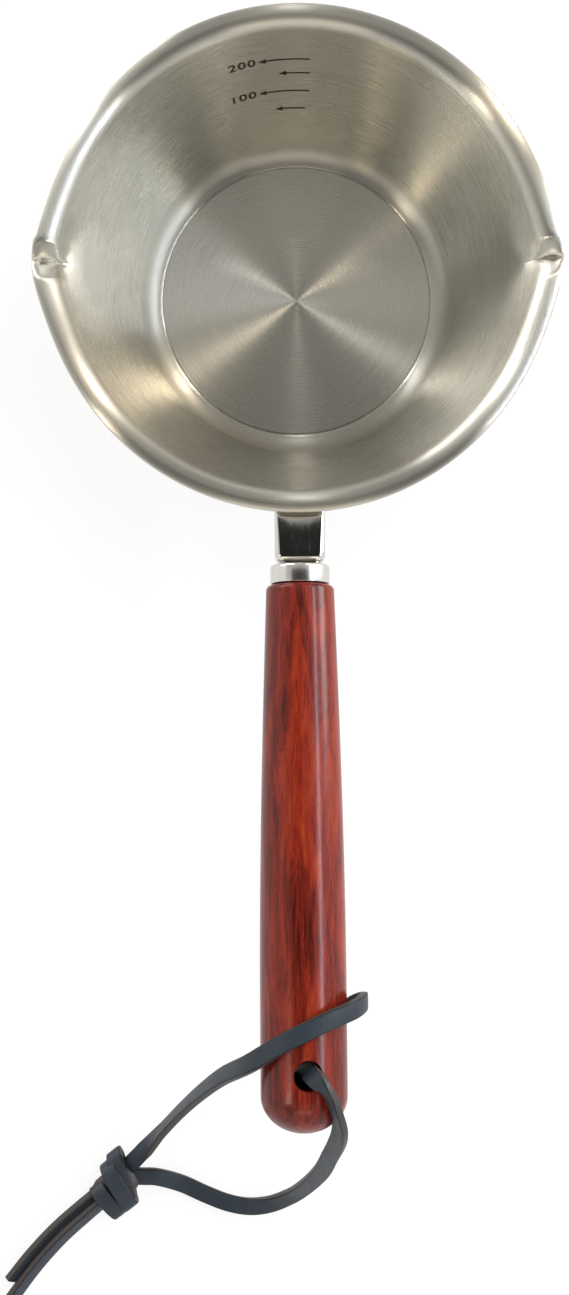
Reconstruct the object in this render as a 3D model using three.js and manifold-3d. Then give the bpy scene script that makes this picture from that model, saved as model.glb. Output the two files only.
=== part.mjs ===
// Oil pouring pan: a pressed steel bowl with two pouring lips, a stamped bracket, a turned wood handle drawn
// on by a bolt through a ferrule, and a flat leather hanging strap tied in a knot.
// Millimetres, +Z up. The origin is the middle of the bowl's base and the handle points along -Y.
import * as THREE from 'three';
import { mergeVertices } from 'three/addons/utils/BufferGeometryUtils.js';
import Module from 'manifold-3d';

const wasm = await Module();
wasm.setup();

const degrees = Math.PI / 180;
const gap = 0.3; // between pieces that touch on the real object
const cutPast = 1; // how far a cutting solid goes past what it cuts
const weldDistance = 1e-4; // corners nearer than this are one corner

// Sides of round solids
const bowlSides = 96;
const wallSides = 120; // of cuts and rings that follow the bowl's wall
const handleSides = 48;
const boltSides = 30;
const holeSides = 32;
const knotSides = 28;

// Bowl
const rimRadius = 57.5; // to the edge of the lip, away from the spouts
const bowlHeight = 50;
const baseRadius = 34.5; // flat part of the inside base
const bowlSheet = 1;
const baseCorner = 4.2; // inside radius between base and wall
const lipRoll = 3.8; // top radius of the rolled lip
const lipTurnDown = 25 * degrees; // how far the roll goes on past its crest
const spoutReach = 2.8; // how far a spout's tip stands out from the round rim
const spoutSpread = 11.5 * degrees; // where the spout stands out half as far
const spoutRise = 14; // height below the rim at which the wall starts to lean into a spout
const grooveDepth = 2; // of the pouring groove's two flanks
const grooveHalfWidth = 4.2;
const grooveShoulder = 0.17; // rounding of its shoulders, as a share of its half width
const grooveAtEdge = 0.5; // share of its depth that is left at the lip's edge
const creaseDepth = 0.7; // further depth of the crease in the groove's middle
const creaseHalfWidth = 0.5;
const sideCrowding = 0.75; // share by which the sides are drawn together at the spouts

// Bolt, ferrule and bracket
const boltRadius = 2;
const boltHeadRadius = 1.75 * boltRadius;
const boltHeadHeight = 2 * boltRadius;
const boltKeyRadius = boltRadius * 0.85; // hexagon socket, to its corners
const boltReach = 40; // length past the ferrule's front
const boltEndRoom = 2; // left free past the bolt's end
const headRoom = 0.5; // between the bolt's head and the bracket's top
const headSideRoom = 1.1; // between the bolt's head and the bracket's sides
const bracketSheet = 1.2;
const bracketBend = 2.4; // outside radius of the bracket's long bends
const flangeWidth = 27;
const flangeHeight = 17;
const flangeCorner = 5;
const flangeUnderTop = 0.8; // the flange's upper edge lies this far below the bracket's top
const neckReach = 12; // from the rim to the ferrule's front
const ferruleRadius = 6.9;
const ferruleLength = 4.4;
const ferruleSheet = 0.8;
const ferruleRound = 0.7; // rounding of its front edge

// Handle
const handleTilt = 5 * degrees;
const handleUnderRim = 9.1; // the handle's axis at the ferrule's front, below the top of the rim
const handleLength = 124;
const handleFrontRadius = 7.85;
const handleBellyRadius = 9.85;
const handleBellyAt = 95; // from the handle's front to where it is thickest
const handleFrontRound = 1.2;
const handleDome = 8.3; // length of the rounded end
const holeRadius = 3.15; // hanging hole
const holeFromEnd = 13.9;
const holeTurn = 5.5 * degrees; // the handle stands turned on its bolt, so the hole's top leans right

// Strap
const strapWidth = 4.2;
const strapThickness = 1.8;
const strapChamfer = 0.4;
const strapLying = 1.9; // height of the strap's middle where it lies tilted on the table
const strapLean = 0.5; // how far it lies aside at the hole's ends
const strapLeanTurn = 33 * degrees; // from +X towards the bowl
const strapSteps = 56; // of each long run
const tailSteps = 8;
const knotLength = 11; // of the turns inside the knot
const knotStrandOut = 1.4; // how far the strands stick out of the knot's ends
const knotRight = -47.6; // from the hanging hole to the knot's middle
const knotForward = -40.7;
const knotHalfWidth = 4.4;
const knotHalfHeight = 2.3;
const knotBite = 0.15; // how far the outer wraps press into the turns inside
const knotWraps = 1.7;
const knotWrapStart = -100 * degrees; // round the knot from its left, over the top
const knotWrapSpace = 1.5; // between neighbouring wraps
const knotWrapStops = 12; // of one wrap's curve
const knotLift = 0.3; // between the knot and the table
const knotTurn = 38 * degrees; // of the knot's length, from +X
const strandOverlap = 3; // length of each strand inside the knot
const tailLying = 2.6; // height of a tail's middle: the tails stand nearly on edge
const tailALength = 29;
const tailBLength = 32;
const tailASide = 1.38; // from the knot's middle line
const tailBSide = -1.38;
const tailSwing = 4; // how far the first tail's end lies to the right of a straight line
const tailSpread = 0.1; // share by which the tails draw apart towards their ends

// Derived sizes
const bracketWidth = 2 * (boltHeadRadius + headSideRoom + bracketSheet);
const bracketTop = boltHeadRadius + headRoom + bracketSheet; // above the handle's axis
const bracketDrop = Math.sqrt(ferruleRadius ** 2 - (bracketWidth / 2) ** 2); // sides below the axis
const ferruleFront = rimRadius + neckReach;
const axisHeight = bowlHeight - handleUnderRim;
const boltHole = boltRadius + gap;
const shoulderAt = ferruleLength + gap; // where the thick part of the handle starts
const holeAt = shoulderAt + handleLength - holeFromEnd;
const strapRoom = strapThickness / 2 + 2 * gap; // from the wood to the middle of a strap that lies on it

const steel = (colour, roughness) =>
  new THREE.MeshStandardMaterial({ color: colour, roughness, metalness: 1 });
const brushedSteel = steel('#a5a196', 0.38);
const polishedSteel = steel('#c9c8c4', 0.12);
const zincSteel = steel('#9a9c9e', 0.45);
const redWood = new THREE.MeshStandardMaterial({ color: '#7a2a1c', roughness: 0.3, metalness: 0 });
const darkLeather = new THREE.MeshStandardMaterial({ color: '#42474b', roughness: 0.6, metalness: 0 });

// Closed solids from geometries, and back
function solidOf(geometry) {
  const bare = geometry.clone();
  bare.deleteAttribute('normal');
  bare.deleteAttribute('uv');
  const merged = mergeVertices(bare, weldDistance);
  const corners = merged.index.array;
  const triangles = [];
  for (let i = 0; i < corners.length; i += 3) {
    const [a, b, c] = [corners[i], corners[i + 1], corners[i + 2]];
    if (a !== b && b !== c && c !== a) triangles.push(a, b, c);
  }
  const mesh = new wasm.Mesh({
    numProp: 3,
    vertProperties: new Float32Array(merged.attributes.position.array),
    triVerts: new Uint32Array(triangles),
  });
  const solid = new wasm.Manifold(mesh);
  if (solid.volume() > 0) return solid;
  for (let i = 0; i < triangles.length; i += 3) {
    [triangles[i + 1], triangles[i + 2]] = [triangles[i + 2], triangles[i + 1]];
  }
  mesh.triVerts = new Uint32Array(triangles);
  return new wasm.Manifold(mesh);
}

function geometryOf(solid) {
  const mesh = solid.getMesh();
  const geometry = new THREE.BufferGeometry();
  geometry.setAttribute('position', new THREE.BufferAttribute(new Float32Array(mesh.vertProperties), 3));
  geometry.setIndex(new THREE.BufferAttribute(new Uint32Array(mesh.triVerts), 1));
  geometry.computeVertexNormals();
  return geometry;
}

function part(name, solid, material) {
  const mesh = new THREE.Mesh(geometryOf(solid), material);
  mesh.name = name;
  return mesh;
}

// A turned solid about +Z from [radius, height] pairs
function turned(profile, sides) {
  const points = profile.map(([radius, height]) => new THREE.Vector2(Math.max(radius, 0), height));
  return new THREE.LatheGeometry(points, sides).rotateX(Math.PI / 2);
}

// Points of an arc about [x, z], both ends included; angles from +X towards +Z
function arc([x, z], radius, from, to, steps) {
  return Array.from({ length: steps + 1 }, (_, i) => {
    const angle = from + (to - from) * i / steps;
    return [x + radius * Math.cos(angle), z + radius * Math.sin(angle)];
  });
}

function between(start, end, shares) {
  return shares.map((share) => start.map((value, i) => value + (end[i] - value) * share));
}

// Bowl: the wall's inner face is the straight line that touches the base corner and the lip's roll
const cornerCentre = [baseRadius, bowlSheet + baseCorner];
const rollCentre = [rimRadius - lipRoll * Math.sin(lipTurnDown), bowlHeight - lipRoll];
const centreRun = rollCentre[0] - cornerCentre[0];
const centreClimb = rollCentre[1] - cornerCentre[1];
const wallTouch = Math.asin((baseCorner + lipRoll) / Math.hypot(centreRun, centreClimb));
const wallSlope = Math.atan2(centreClimb, centreRun) + wallTouch; // from level

function bowlProfile() {
  const cornerStart = -Math.PI / 2;
  const cornerEnd = wallSlope - Math.PI / 2;
  const rollStart = wallSlope + Math.PI / 2;
  const rollEnd = Math.PI / 2 - lipTurnDown;
  const outerCorner = arc(cornerCentre, baseCorner + bowlSheet, cornerStart, cornerEnd, 5);
  const outerRoll = arc(rollCentre, lipRoll - bowlSheet, rollStart, rollEnd, 6);
  const innerRoll = arc(rollCentre, lipRoll, rollEnd, rollStart, 8);
  const innerCorner = arc(cornerCentre, baseCorner, cornerEnd, cornerStart, 5);
  const wallShares = [0.35, 0.6, 0.75, 0.88];
  const outerWall = between(outerCorner.at(-1), outerRoll[0], wallShares);
  const innerWall = between(innerCorner[0], innerRoll.at(-1), wallShares).reverse();
  const outside = [[0, 0], ...outerCorner, ...outerWall, ...outerRoll];
  return [...outside, ...innerRoll, ...innerWall, ...innerCorner, [0, bowlSheet]];
}

function formSpouts(geometry) {
  const position = geometry.attributes.position;
  for (let i = 0; i < position.count; i += 1) {
    const x = position.getX(i);
    const y = position.getY(i);
    const z = position.getZ(i);
    const radius = Math.hypot(x, y);
    const even = Math.atan2(y, x);
    const angle = even - sideCrowding * Math.sin(2 * even) / 2;
    const offSpout = Math.atan2(Math.abs(Math.sin(angle)), Math.abs(Math.cos(angle)));
    const high = THREE.MathUtils.smoothstep(z, bowlHeight - spoutRise, bowlHeight);
    const lip = THREE.MathUtils.smoothstep(z, bowlHeight - 2 * lipRoll, bowlHeight);
    const stand = spoutReach * high / (1 + (offSpout / spoutSpread) ** 2);
    const aside = offSpout * rimRadius;
    const inside = 1 - aside / grooveHalfWidth;
    const flanks = (inside + Math.hypot(inside, grooveShoulder)) / 2;
    const crease = Math.exp(-aside / creaseHalfWidth);
    const atEdge = THREE.MathUtils.smoothstep(radius, rimRadius - 2 * bowlSheet, rimRadius);
    const edge = 1 - (1 - grooveAtEdge) * atEdge;
    const sink = lip * edge * (grooveDepth * flanks + creaseDepth * crease);
    const reach = radius > 0 ? radius + stand : 0;
    position.setXYZ(i, reach * Math.cos(angle), reach * Math.sin(angle), z - sink);
  }
  return geometry;
}

const bowl = part('bowl', solidOf(formSpouts(turned(bowlProfile(), bowlSides))), brushedSteel);

// Radius of the wall's outer face at a height
const wallFoot = [
  cornerCentre[0] + (baseCorner + bowlSheet) * Math.sin(wallSlope),
  cornerCentre[1] - (baseCorner + bowlSheet) * Math.cos(wallSlope),
];
const outerWallAt = (z) => wallFoot[0] + (z - wallFoot[1]) / Math.tan(wallSlope);

// Handle frame: local x across, y back towards the bowl along the axis, z up; the ferrule's front is at y = 0
const handleFrame = new THREE.Group();
handleFrame.position.set(0, -ferruleFront, axisHeight);
handleFrame.rotation.x = -handleTilt;
handleFrame.updateMatrix();

// A solid turned about the handle's axis from [radius, distance past the ferrule's front] pairs
const alongHandle = (profile, sides) => solidOf(turned(profile, sides).rotateX(Math.PI / 2));

function boltSolid() {
  const headFace = -bracketSheet - 2 * gap; // under the head, on the bracket's end wall
  const headTop = headFace - boltHeadHeight;
  const headOutline = [[0, headTop], [boltHeadRadius, headTop], [boltHeadRadius, headFace]];
  const shank = [[boltRadius, headFace], [boltRadius, boltReach], [0, boltReach]];
  const keyFloor = headTop + boltHeadHeight / 2;
  const keyMouth = headTop - cutPast;
  const key = [[0, keyMouth], [boltKeyRadius, keyMouth], [boltKeyRadius, keyFloor], [0, keyFloor]];
  return alongHandle([...headOutline, ...shank], boltSides).subtract(alongHandle(key, 6));
}

function ferruleSolid() {
  const inside = ferruleRadius - ferruleSheet;
  const frontEdge = arc(
    [ferruleRadius - ferruleRound, ferruleRound], ferruleRound, -Math.PI / 2, 0, 4);
  const outside = [[boltHole, 0], ...frontEdge, [ferruleRadius, ferruleLength]];
  const inner = [[inside, ferruleLength], [inside, ferruleSheet], [boltHole, ferruleSheet]];
  return alongHandle([...outside, ...inner, [boltHole, 0]], handleSides);
}

// The wood's radius at a distance past its shoulder, without the rounding of its two ends
function woodRadiusAt(distance) {
  const share = Math.min(Math.max(distance / handleBellyAt, 0), 1);
  return handleFrontRadius + (handleBellyRadius - handleFrontRadius) * Math.sin(share * Math.PI / 2);
}

function gripSolid() {
  const tenon = ferruleRadius - ferruleSheet - gap;
  const tenonFront = ferruleSheet + gap;
  const boreEnd = boltReach + boltEndRoom;
  const bore = [[0, boreEnd], [boltHole, boreEnd], [boltHole, tenonFront], [tenon, tenonFront]];
  const frontCentre = [woodRadiusAt(handleFrontRound) - handleFrontRound, shoulderAt + handleFrontRound];
  const frontRound = arc(frontCentre, handleFrontRound, -Math.PI / 2, 0, 4);
  const domeStart = handleLength - handleDome;
  const bodyShares = Array.from({ length: 16 }, (_, i) => (i + 1) / 16);
  const bodyRun = bodyShares.map((share) => {
    const distance = handleFrontRound + (domeStart - handleFrontRound) * share;
    return [woodRadiusAt(distance), shoulderAt + distance];
  });
  const domeRadius = woodRadiusAt(domeStart);
  const dome = arc([0, 0], 1, 0, Math.PI / 2, 9).slice(1).map(([across, along], i, all) => {
    const radius = i === all.length - 1 ? 0 : domeRadius * across;
    return [radius, shoulderAt + domeStart + handleDome * along];
  });
  const outline = [...bore, [tenon, shoulderAt], ...frontRound, ...bodyRun, ...dome];
  const drill = new THREE.CylinderGeometry(holeRadius, holeRadius, 3 * handleBellyRadius, holeSides);
  drill.rotateX(Math.PI / 2).rotateY(holeTurn).translate(0, -holeAt, 0);
  return alongHandle(outline, handleSides).subtract(solidOf(drill));
}

// A flat outline in local x and z, pulled along local y from near the bowl to `end`
function pulled(shape, start, end) {
  const geometry = new THREE.ExtrudeGeometry(shape, {
    depth: start - end,
    bevelEnabled: false,
    curveSegments: 6,
  });
  return geometry.rotateX(Math.PI / 2).translate(0, start, 0);
}

function channelShape(half, top, bend, bottom) {
  const shape = new THREE.Shape();
  shape.moveTo(-half, bottom);
  shape.lineTo(-half, top - bend);
  shape.absarc(-half + bend, top - bend, bend, Math.PI, Math.PI / 2, true);
  shape.lineTo(half - bend, top);
  shape.absarc(half - bend, top - bend, bend, Math.PI / 2, 0, true);
  shape.lineTo(half, bottom);
  shape.closePath();
  return shape;
}

function roundedBox(width, height, corner) {
  const shape = new THREE.Shape();
  const [x, z] = [width / 2, height / 2];
  shape.moveTo(x, z - corner);
  shape.absarc(x - corner, z - corner, corner, 0, Math.PI / 2);
  shape.absarc(corner - x, z - corner, corner, Math.PI / 2, Math.PI);
  shape.absarc(corner - x, corner - z, corner, Math.PI, 1.5 * Math.PI);
  shape.absarc(x - corner, corner - z, corner, 1.5 * Math.PI, 2 * Math.PI);
  shape.closePath();
  return shape;
}

// A ring or plug that follows the bowl's outer wall between two heights
function besideWall(low, high, innerOffset, outerOffset) {
  const inner = [[outerWallAt(high) + innerOffset, high], [outerWallAt(low) + innerOffset, low]];
  const outer = [[outerWallAt(low) + outerOffset, low], [outerWallAt(high) + outerOffset, high]];
  return solidOf(turned([...inner, ...outer, inner[0]], wallSides));
}

function bracketSolid() {
  const half = bracketWidth / 2;
  const near = ferruleFront - baseRadius; // well inside the bowl, trimmed to the flange below
  const outer = channelShape(half, bracketTop, bracketBend, -bracketDrop);
  const innerBend = bracketBend - bracketSheet;
  const below = -2 * bracketDrop;
  const inner = channelShape(half - bracketSheet, bracketTop - bracketSheet, innerBend, below);
  const endWall = gap + bracketSheet;
  const hollow = solidOf(pulled(inner, near + cutPast, endWall));
  const boltWay = alongHandle([[0, -near], [boltHole, -near], [boltHole, 0], [0, 0]], boltSides);
  const arm = solidOf(pulled(outer, near, gap)).subtract(hollow).subtract(boltWay);
  const placed = arm.transform(handleFrame.matrix.elements);

  const wallGap = gap / Math.sin(wallSlope);
  const wallSheet = bracketSheet / Math.sin(wallSlope);
  const armReach = ferruleFront - outerWallAt(bowlHeight);
  const armTop = axisHeight + bracketTop - armReach * Math.tan(handleTilt);
  const flangeTop = armTop - flangeUnderTop;
  const flangeLow = flangeTop - flangeHeight;
  const outline = pulled(roundedBox(flangeWidth, flangeHeight, flangeCorner), 0, -rimRadius);
  outline.translate(0, 0, flangeTop - flangeHeight / 2);
  const ringLow = flangeLow - cutPast;
  const ringHigh = flangeTop + cutPast;
  const sheetRing = besideWall(ringLow, ringHigh, wallGap, wallGap + wallSheet);
  const flange = sheetRing.intersect(solidOf(outline));

  const floor = -bowlHeight;
  const inside = [[0, floor], [outerWallAt(floor) + wallGap, floor]];
  const mouth = [[outerWallAt(2 * bowlHeight) + wallGap, 2 * bowlHeight], [0, 2 * bowlHeight]];
  const bowlRoom = solidOf(turned([...inside, ...mouth], wallSides));
  return placed.subtract(bowlRoom).add(flange);
}

handleFrame.add(part('handle_bolt', boltSolid(), zincSteel));
handleFrame.add(part('ferrule', ferruleSolid(), polishedSteel));
handleFrame.add(part('handle_grip', gripSolid(), redWood));

// Strap: a flat section swept along a curve whose faces are set point by point
class StrapPath extends THREE.CatmullRomCurve3 {
  constructor(stops) {
    super(stops.map((stop) => stop.at));
    this.faces = stops.map((stop) => stop.face);
  }

  computeFrenetFrames(segments) {
    const tangents = [];
    const normals = [];
    const binormals = [];
    for (let i = 0; i <= segments; i += 1) {
      const place = this.getUtoTmapping(i / segments) * (this.faces.length - 1);
      const before = Math.min(Math.floor(place), this.faces.length - 2);
      const tangent = this.getTangentAt(i / segments);
      const face = this.faces[before].clone().lerp(this.faces[before + 1], place - before);
      face.addScaledVector(tangent, -face.dot(tangent)).normalize();
      tangents.push(tangent);
      normals.push(new THREE.Vector3().crossVectors(face, tangent));
      binormals.push(face);
    }
    return { tangents, normals, binormals };
  }
}

const strapSection = new THREE.Shape([
  [strapWidth / 2, strapThickness / 2 - strapChamfer],
  [strapWidth / 2 - strapChamfer, strapThickness / 2],
  [strapChamfer - strapWidth / 2, strapThickness / 2],
  [-strapWidth / 2, strapThickness / 2 - strapChamfer],
  [-strapWidth / 2, strapChamfer - strapThickness / 2],
  [strapChamfer - strapWidth / 2, -strapThickness / 2],
  [strapWidth / 2 - strapChamfer, -strapThickness / 2],
  [strapWidth / 2, strapChamfer - strapThickness / 2],
].map(([x, y]) => new THREE.Vector2(x, y)));

function strapSolid(stops, steps) {
  const extrudePath = new StrapPath(stops);
  return solidOf(new THREE.ExtrudeGeometry(strapSection, { steps, extrudePath, bevelEnabled: false }));
}

const stop = (at, face) => ({ at, face: new THREE.Vector3(...face).normalize() });
const inWorld = (x, along, z) => new THREE.Vector3(x, -along, z).applyMatrix4(handleFrame.matrix);

// In the hanging hole, at a height over the handle's axis; the strap leans to the right and the bowl upwards
function inHole(height, face) {
  const lean = strapLean * THREE.MathUtils.clamp(2 * height / handleBellyRadius, -1, 1);
  const right = height * Math.sin(holeTurn) + lean * Math.cos(strapLeanTurn);
  const along = holeAt - lean * Math.sin(strapLeanTurn);
  return stop(inWorld(right, along, height * Math.cos(holeTurn)), face);
}

// Round the handle: degrees from its top towards +X, air under the strap, distance from the hole to the end,
// and the way the strap's face looks, which is off the handle where it lies flat
function roundHandle(turn, air, past, face) {
  const angle = turn * degrees;
  const domeStart = handleLength - handleDome;
  const distance = holeAt + past - shoulderAt;
  const intoDome = THREE.MathUtils.clamp((distance - domeStart) / handleDome, 0, 1);
  const wood = woodRadiusAt(distance) * Math.sqrt(1 - intoDome ** 2);
  const out = wood + strapRoom + air;
  const radial = [Math.sin(angle), 0, Math.cos(angle)];
  return stop(inWorld(out * radial[0], holeAt + past, out * radial[2]), face ?? radial);
}

// Free of the handle: right and forward of the hole, and a share of the hole's height over the table
const holeOnTable = inWorld(0, holeAt, 0).setZ(0);
const strapTop = inWorld(0, holeAt, handleBellyRadius).z;
function free(right, forward, share, face) {
  const lift = new THREE.Vector3(right, forward, strapLying + share * (strapTop - strapLying));
  return stop(lift.add(holeOnTable), face);
}

// Knot frame: local x towards where the two runs come in, y to its left, z up
const vertical = new THREE.Vector3(0, 0, 1);
const knotHalfOut = knotHalfHeight - knotBite + strapThickness;
const knotAt = new THREE.Vector3(knotRight, knotForward, knotHalfOut + knotLift).add(holeOnTable);
const knotTurned = (x, y, z) => new THREE.Vector3(x, y, z).applyAxisAngle(vertical, knotTurn);
const inKnot = (x, y, z) => knotTurned(x, y, z).add(knotAt);
const knotEdge = knotLength / 2 + knotStrandOut;
const up = vertical.toArray();

// A strand that crosses the knot's edge: its stops inside the knot, and its first stops outside
function crossing(x, y, z, direction, face) {
  const out = knotTurned(...direction).normalize();
  const look = knotTurned(...face).toArray();
  const [deep, edge, clear, far] = [-strandOverlap, 0, gap, gap + strandOverlap].map((distance) => {
    return stop(inKnot(x, y, z).addScaledVector(out, distance), look);
  });
  return { inside: [deep, edge], outside: [clear, far] };
}

const tailAFace = [0, -0.84, 0.54];
const tailBFace = [0, -0.8, 0.6];
const endRunIn = crossing(knotEdge, -2.5, -0.7, [0.76, -0.65, 0], up);
const overRunIn = crossing(knotEdge, 2.1, 0.5, [0.98, 0.2, 0.5], up);
const tailAOut = crossing(-knotEdge, tailASide, -1.2, [-1, -0.03, -0.05], tailAFace);
const tailBOut = crossing(-knotEdge, tailBSide, -1.2, [-1, -0.05, -0.05], tailBFace);

// From the hole's top over the end of the handle on edge, down, and round on the table to the knot
const endRun = [
  inHole(gap / 2, [-0.55, 0.84, 0]),
  inHole(0.55 * handleBellyRadius, [-0.6, 0.8, 0]),
  inHole(0.95 * handleBellyRadius, [-0.7, 0.6, 0.35]),
  roundHandle(14, 2, 0.8, [-0.72, 0.1, 0.7]),
  roundHandle(25.5, 1.8, 4, [-0.82, -0.25, 0.46]),
  roundHandle(33, 1.5, 7.3, [-0.86, -0.42, 0.3]),
  roundHandle(46, 1.4, 10.6, [-0.84, -0.44, 0.3]),
  free(7.8, -13.4, 0.91, [-0.78, -0.5, 0.36]),
  free(7.2, -17.6, 0.8, [-0.66, -0.6, 0.42]),
  free(6, -22.6, 0.66, [-0.48, -0.7, 0.5]),
  free(4.3, -29.4, 0.47, [-0.3, -0.74, 0.58]),
  free(1.1, -36.2, 0.28, [-0.16, -0.62, 0.76]),
  free(-3.1, -42, 0.12, [-0.06, -0.4, 0.9]),
  free(-8.8, -45.8, 0.03, [0, -0.15, 0.98]),
  free(-13.8, -46.8, 0, [0, 0.05, 1]),
  free(-18.9, -45.9, 0, [0, 0.2, 0.98]),
  free(-24.6, -43.7, 0, [0, 0.15, 0.99]),
  free(-31, -40.8, 0, [0, 0.05, 1]),
  ...endRunIn.outside.toReversed(),
];

// From the hole's bottom round the right side of the handle, over its top, and down to the knot
const overRun = [
  inHole(-gap / 2, [-0.55, 0.84, 0]),
  inHole(-0.55 * handleBellyRadius, [-0.9, 0.4, 0]),
  inHole(-0.95 * handleBellyRadius, [-0.85, -0.3, -0.35]),
  roundHandle(171, 1, -2.4),
  roundHandle(151, 0.7, -7.6),
  roundHandle(122, 1.2, -13),
  roundHandle(92, 2.4, -15.2),
  roundHandle(60, 1.9, -14.3),
  roundHandle(30, 0.4, -12.4),
  roundHandle(3, 0, -10.1),
  roundHandle(-24, 0, -7.4),
  free(-12, 3, 0.93, [-0.58, 0.27, 0.77]),
  free(-18.3, -2.3, 0.76, [-0.67, 0.42, 0.6]),
  free(-23.5, -8.3, 0.585, [-0.73, 0.5, 0.46]),
  free(-28.9, -15.4, 0.4, [-0.76, 0.55, 0.34]),
  free(-34.5, -23.3, 0.225, [-0.74, 0.56, 0.36]),
  free(-38.8, -29.3, 0.115, [-0.5, 0.4, 0.76]),
  ...overRunIn.outside.toReversed(),
];

// A tail runs out over the table past the knot
function tail(out, side, length, face) {
  const places = [0.4, 0.7, 1].map((share) => {
    const reach = length * share;
    const swing = tailSwing * (reach / tailALength) ** 2;
    const aside = side * (1 + tailSpread * share) - swing;
    return inKnot(-knotEdge - reach, aside, tailLying - knotAt.z);
  });
  return [...out.outside, ...places.map((at) => stop(at, knotTurned(...face).toArray()))];
}

function knotSolid() {
  const pitch = strapWidth + knotWrapSpace;
  const wide = knotHalfWidth - knotBite + strapThickness / 2;
  const high = knotHalfHeight - knotBite + strapThickness / 2;
  const stopCount = Math.round(knotWraps * knotWrapStops);
  const wrap = Array.from({ length: stopCount + 1 }, (_, i) => {
    const share = i / stopCount;
    const angle = knotWrapStart + knotWraps * share * 2 * Math.PI;
    const along = pitch * knotWraps * (0.5 - share);
    const at = inKnot(along, wide * Math.cos(angle), high * Math.sin(angle));
    return stop(at, knotTurned(0, high * Math.cos(angle), wide * Math.sin(angle)).toArray());
  });
  const heart = new THREE.CylinderGeometry(1, 1, knotLength, knotSides);
  heart.rotateZ(Math.PI / 2).scale(1, knotHalfWidth, knotHalfHeight);
  heart.rotateZ(knotTurn).translate(...knotAt.toArray());
  const turns = solidOf(heart).add(strapSolid(wrap, 2 * stopCount));
  const strands = [endRunIn, overRunIn, tailAOut, tailBOut].map((strand) => strapSolid(strand.inside, 1));
  return strands.reduce((sum, strand) => sum.add(strand), turns);
}

const tailA = tail(tailAOut, tailASide, tailALength, tailAFace);
const tailB = tail(tailBOut, tailBSide, tailBLength, tailBFace);

const pan = new THREE.Group();
pan.name = 'oil_pouring_pan';
pan.add(bowl);
pan.add(part('handle_bracket', bracketSolid(), polishedSteel));
pan.add(handleFrame);
pan.add(part('strap_end_run', strapSolid(endRun, strapSteps), darkLeather));
pan.add(part('strap_over_run', strapSolid(overRun, strapSteps), darkLeather));
pan.add(part('strap_knot', knotSolid(), darkLeather));
pan.add(part('strap_tail_a', strapSolid(tailA, tailSteps), darkLeather));
pan.add(part('strap_tail_b', strapSolid(tailB, tailSteps), darkLeather));

export default pan;
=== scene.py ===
"""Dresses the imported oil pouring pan: brushed bowl, polished neck, lacquered handle and leather strap.

The frame gives the pieces and their places. Each operator makes one piece, or one group of like pieces, and
rides it on the frame's only body. Lengths are in metres, +Z is up and the handle points along -Y.
"""

import math

import bpy
import numpy as np
from bpy.props import FloatProperty, FloatVectorProperty, PointerProperty
from mathutils import Matrix, Vector


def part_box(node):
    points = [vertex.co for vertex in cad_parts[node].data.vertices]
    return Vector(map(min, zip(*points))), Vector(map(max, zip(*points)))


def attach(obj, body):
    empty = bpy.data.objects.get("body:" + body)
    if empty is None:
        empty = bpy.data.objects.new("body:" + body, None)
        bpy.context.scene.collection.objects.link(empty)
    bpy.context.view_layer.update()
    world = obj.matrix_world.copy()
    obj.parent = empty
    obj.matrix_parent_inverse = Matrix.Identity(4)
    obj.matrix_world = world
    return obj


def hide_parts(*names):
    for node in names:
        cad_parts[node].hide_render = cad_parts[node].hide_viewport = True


bl_info = {
    "name": "Oil Pouring Pan",
    "version": (1, 0, 0),
    "blender": (4, 5, 0),
    "location": "View3D > Sidebar > Pan",
    "description": "Models and finishes the pieces of a small oil pouring pan",
    "category": "Object",
}

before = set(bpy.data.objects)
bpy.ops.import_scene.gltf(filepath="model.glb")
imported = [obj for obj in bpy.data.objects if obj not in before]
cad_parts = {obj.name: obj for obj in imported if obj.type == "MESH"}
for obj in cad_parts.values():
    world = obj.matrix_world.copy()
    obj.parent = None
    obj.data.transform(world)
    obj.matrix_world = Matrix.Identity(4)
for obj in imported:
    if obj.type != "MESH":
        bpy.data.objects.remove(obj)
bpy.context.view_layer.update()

MM = 0.001
GAP = 0.3 * MM  # between neighbouring pieces
CUT_EDGE = 0.25 * MM  # rounding of the neck's cut edges
QUARTER = math.pi / 2

# Sides of turned pieces
BOWL_SIDES = 288
FERRULE_SIDES = 96
HANDLE_SIDES = 128
HOLE_SIDES = 48
KNOT_SIDES = 32


# Sizes and colours


def linear(code):
    """An sRGB hex colour as the linear values that Blender's colours hold."""
    parts = [int(code[i : i + 2], 16) / 255 for i in (1, 3, 5)]
    return tuple(p / 12.92 if p <= 0.04045 else ((p + 0.055) / 1.055) ** 2.4 for p in parts)


def millimetres(name, description, value):
    """A length that a user can change."""
    return FloatProperty(name=name, description=description, default=value * MM, unit="LENGTH")


def degrees(name, description, value):
    """An angle that a user can change."""
    return FloatProperty(name=name, description=description, default=math.radians(value), unit="ROTATION")


def watts(name, description, value):
    """A light's power that a user can change."""
    return FloatProperty(name=name, description=description, default=value, unit="POWER")


def tint(name, description, code):
    """A colour that a user can change."""
    return FloatVectorProperty(name=name, description=description, default=linear(code), subtype="COLOR")


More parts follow.
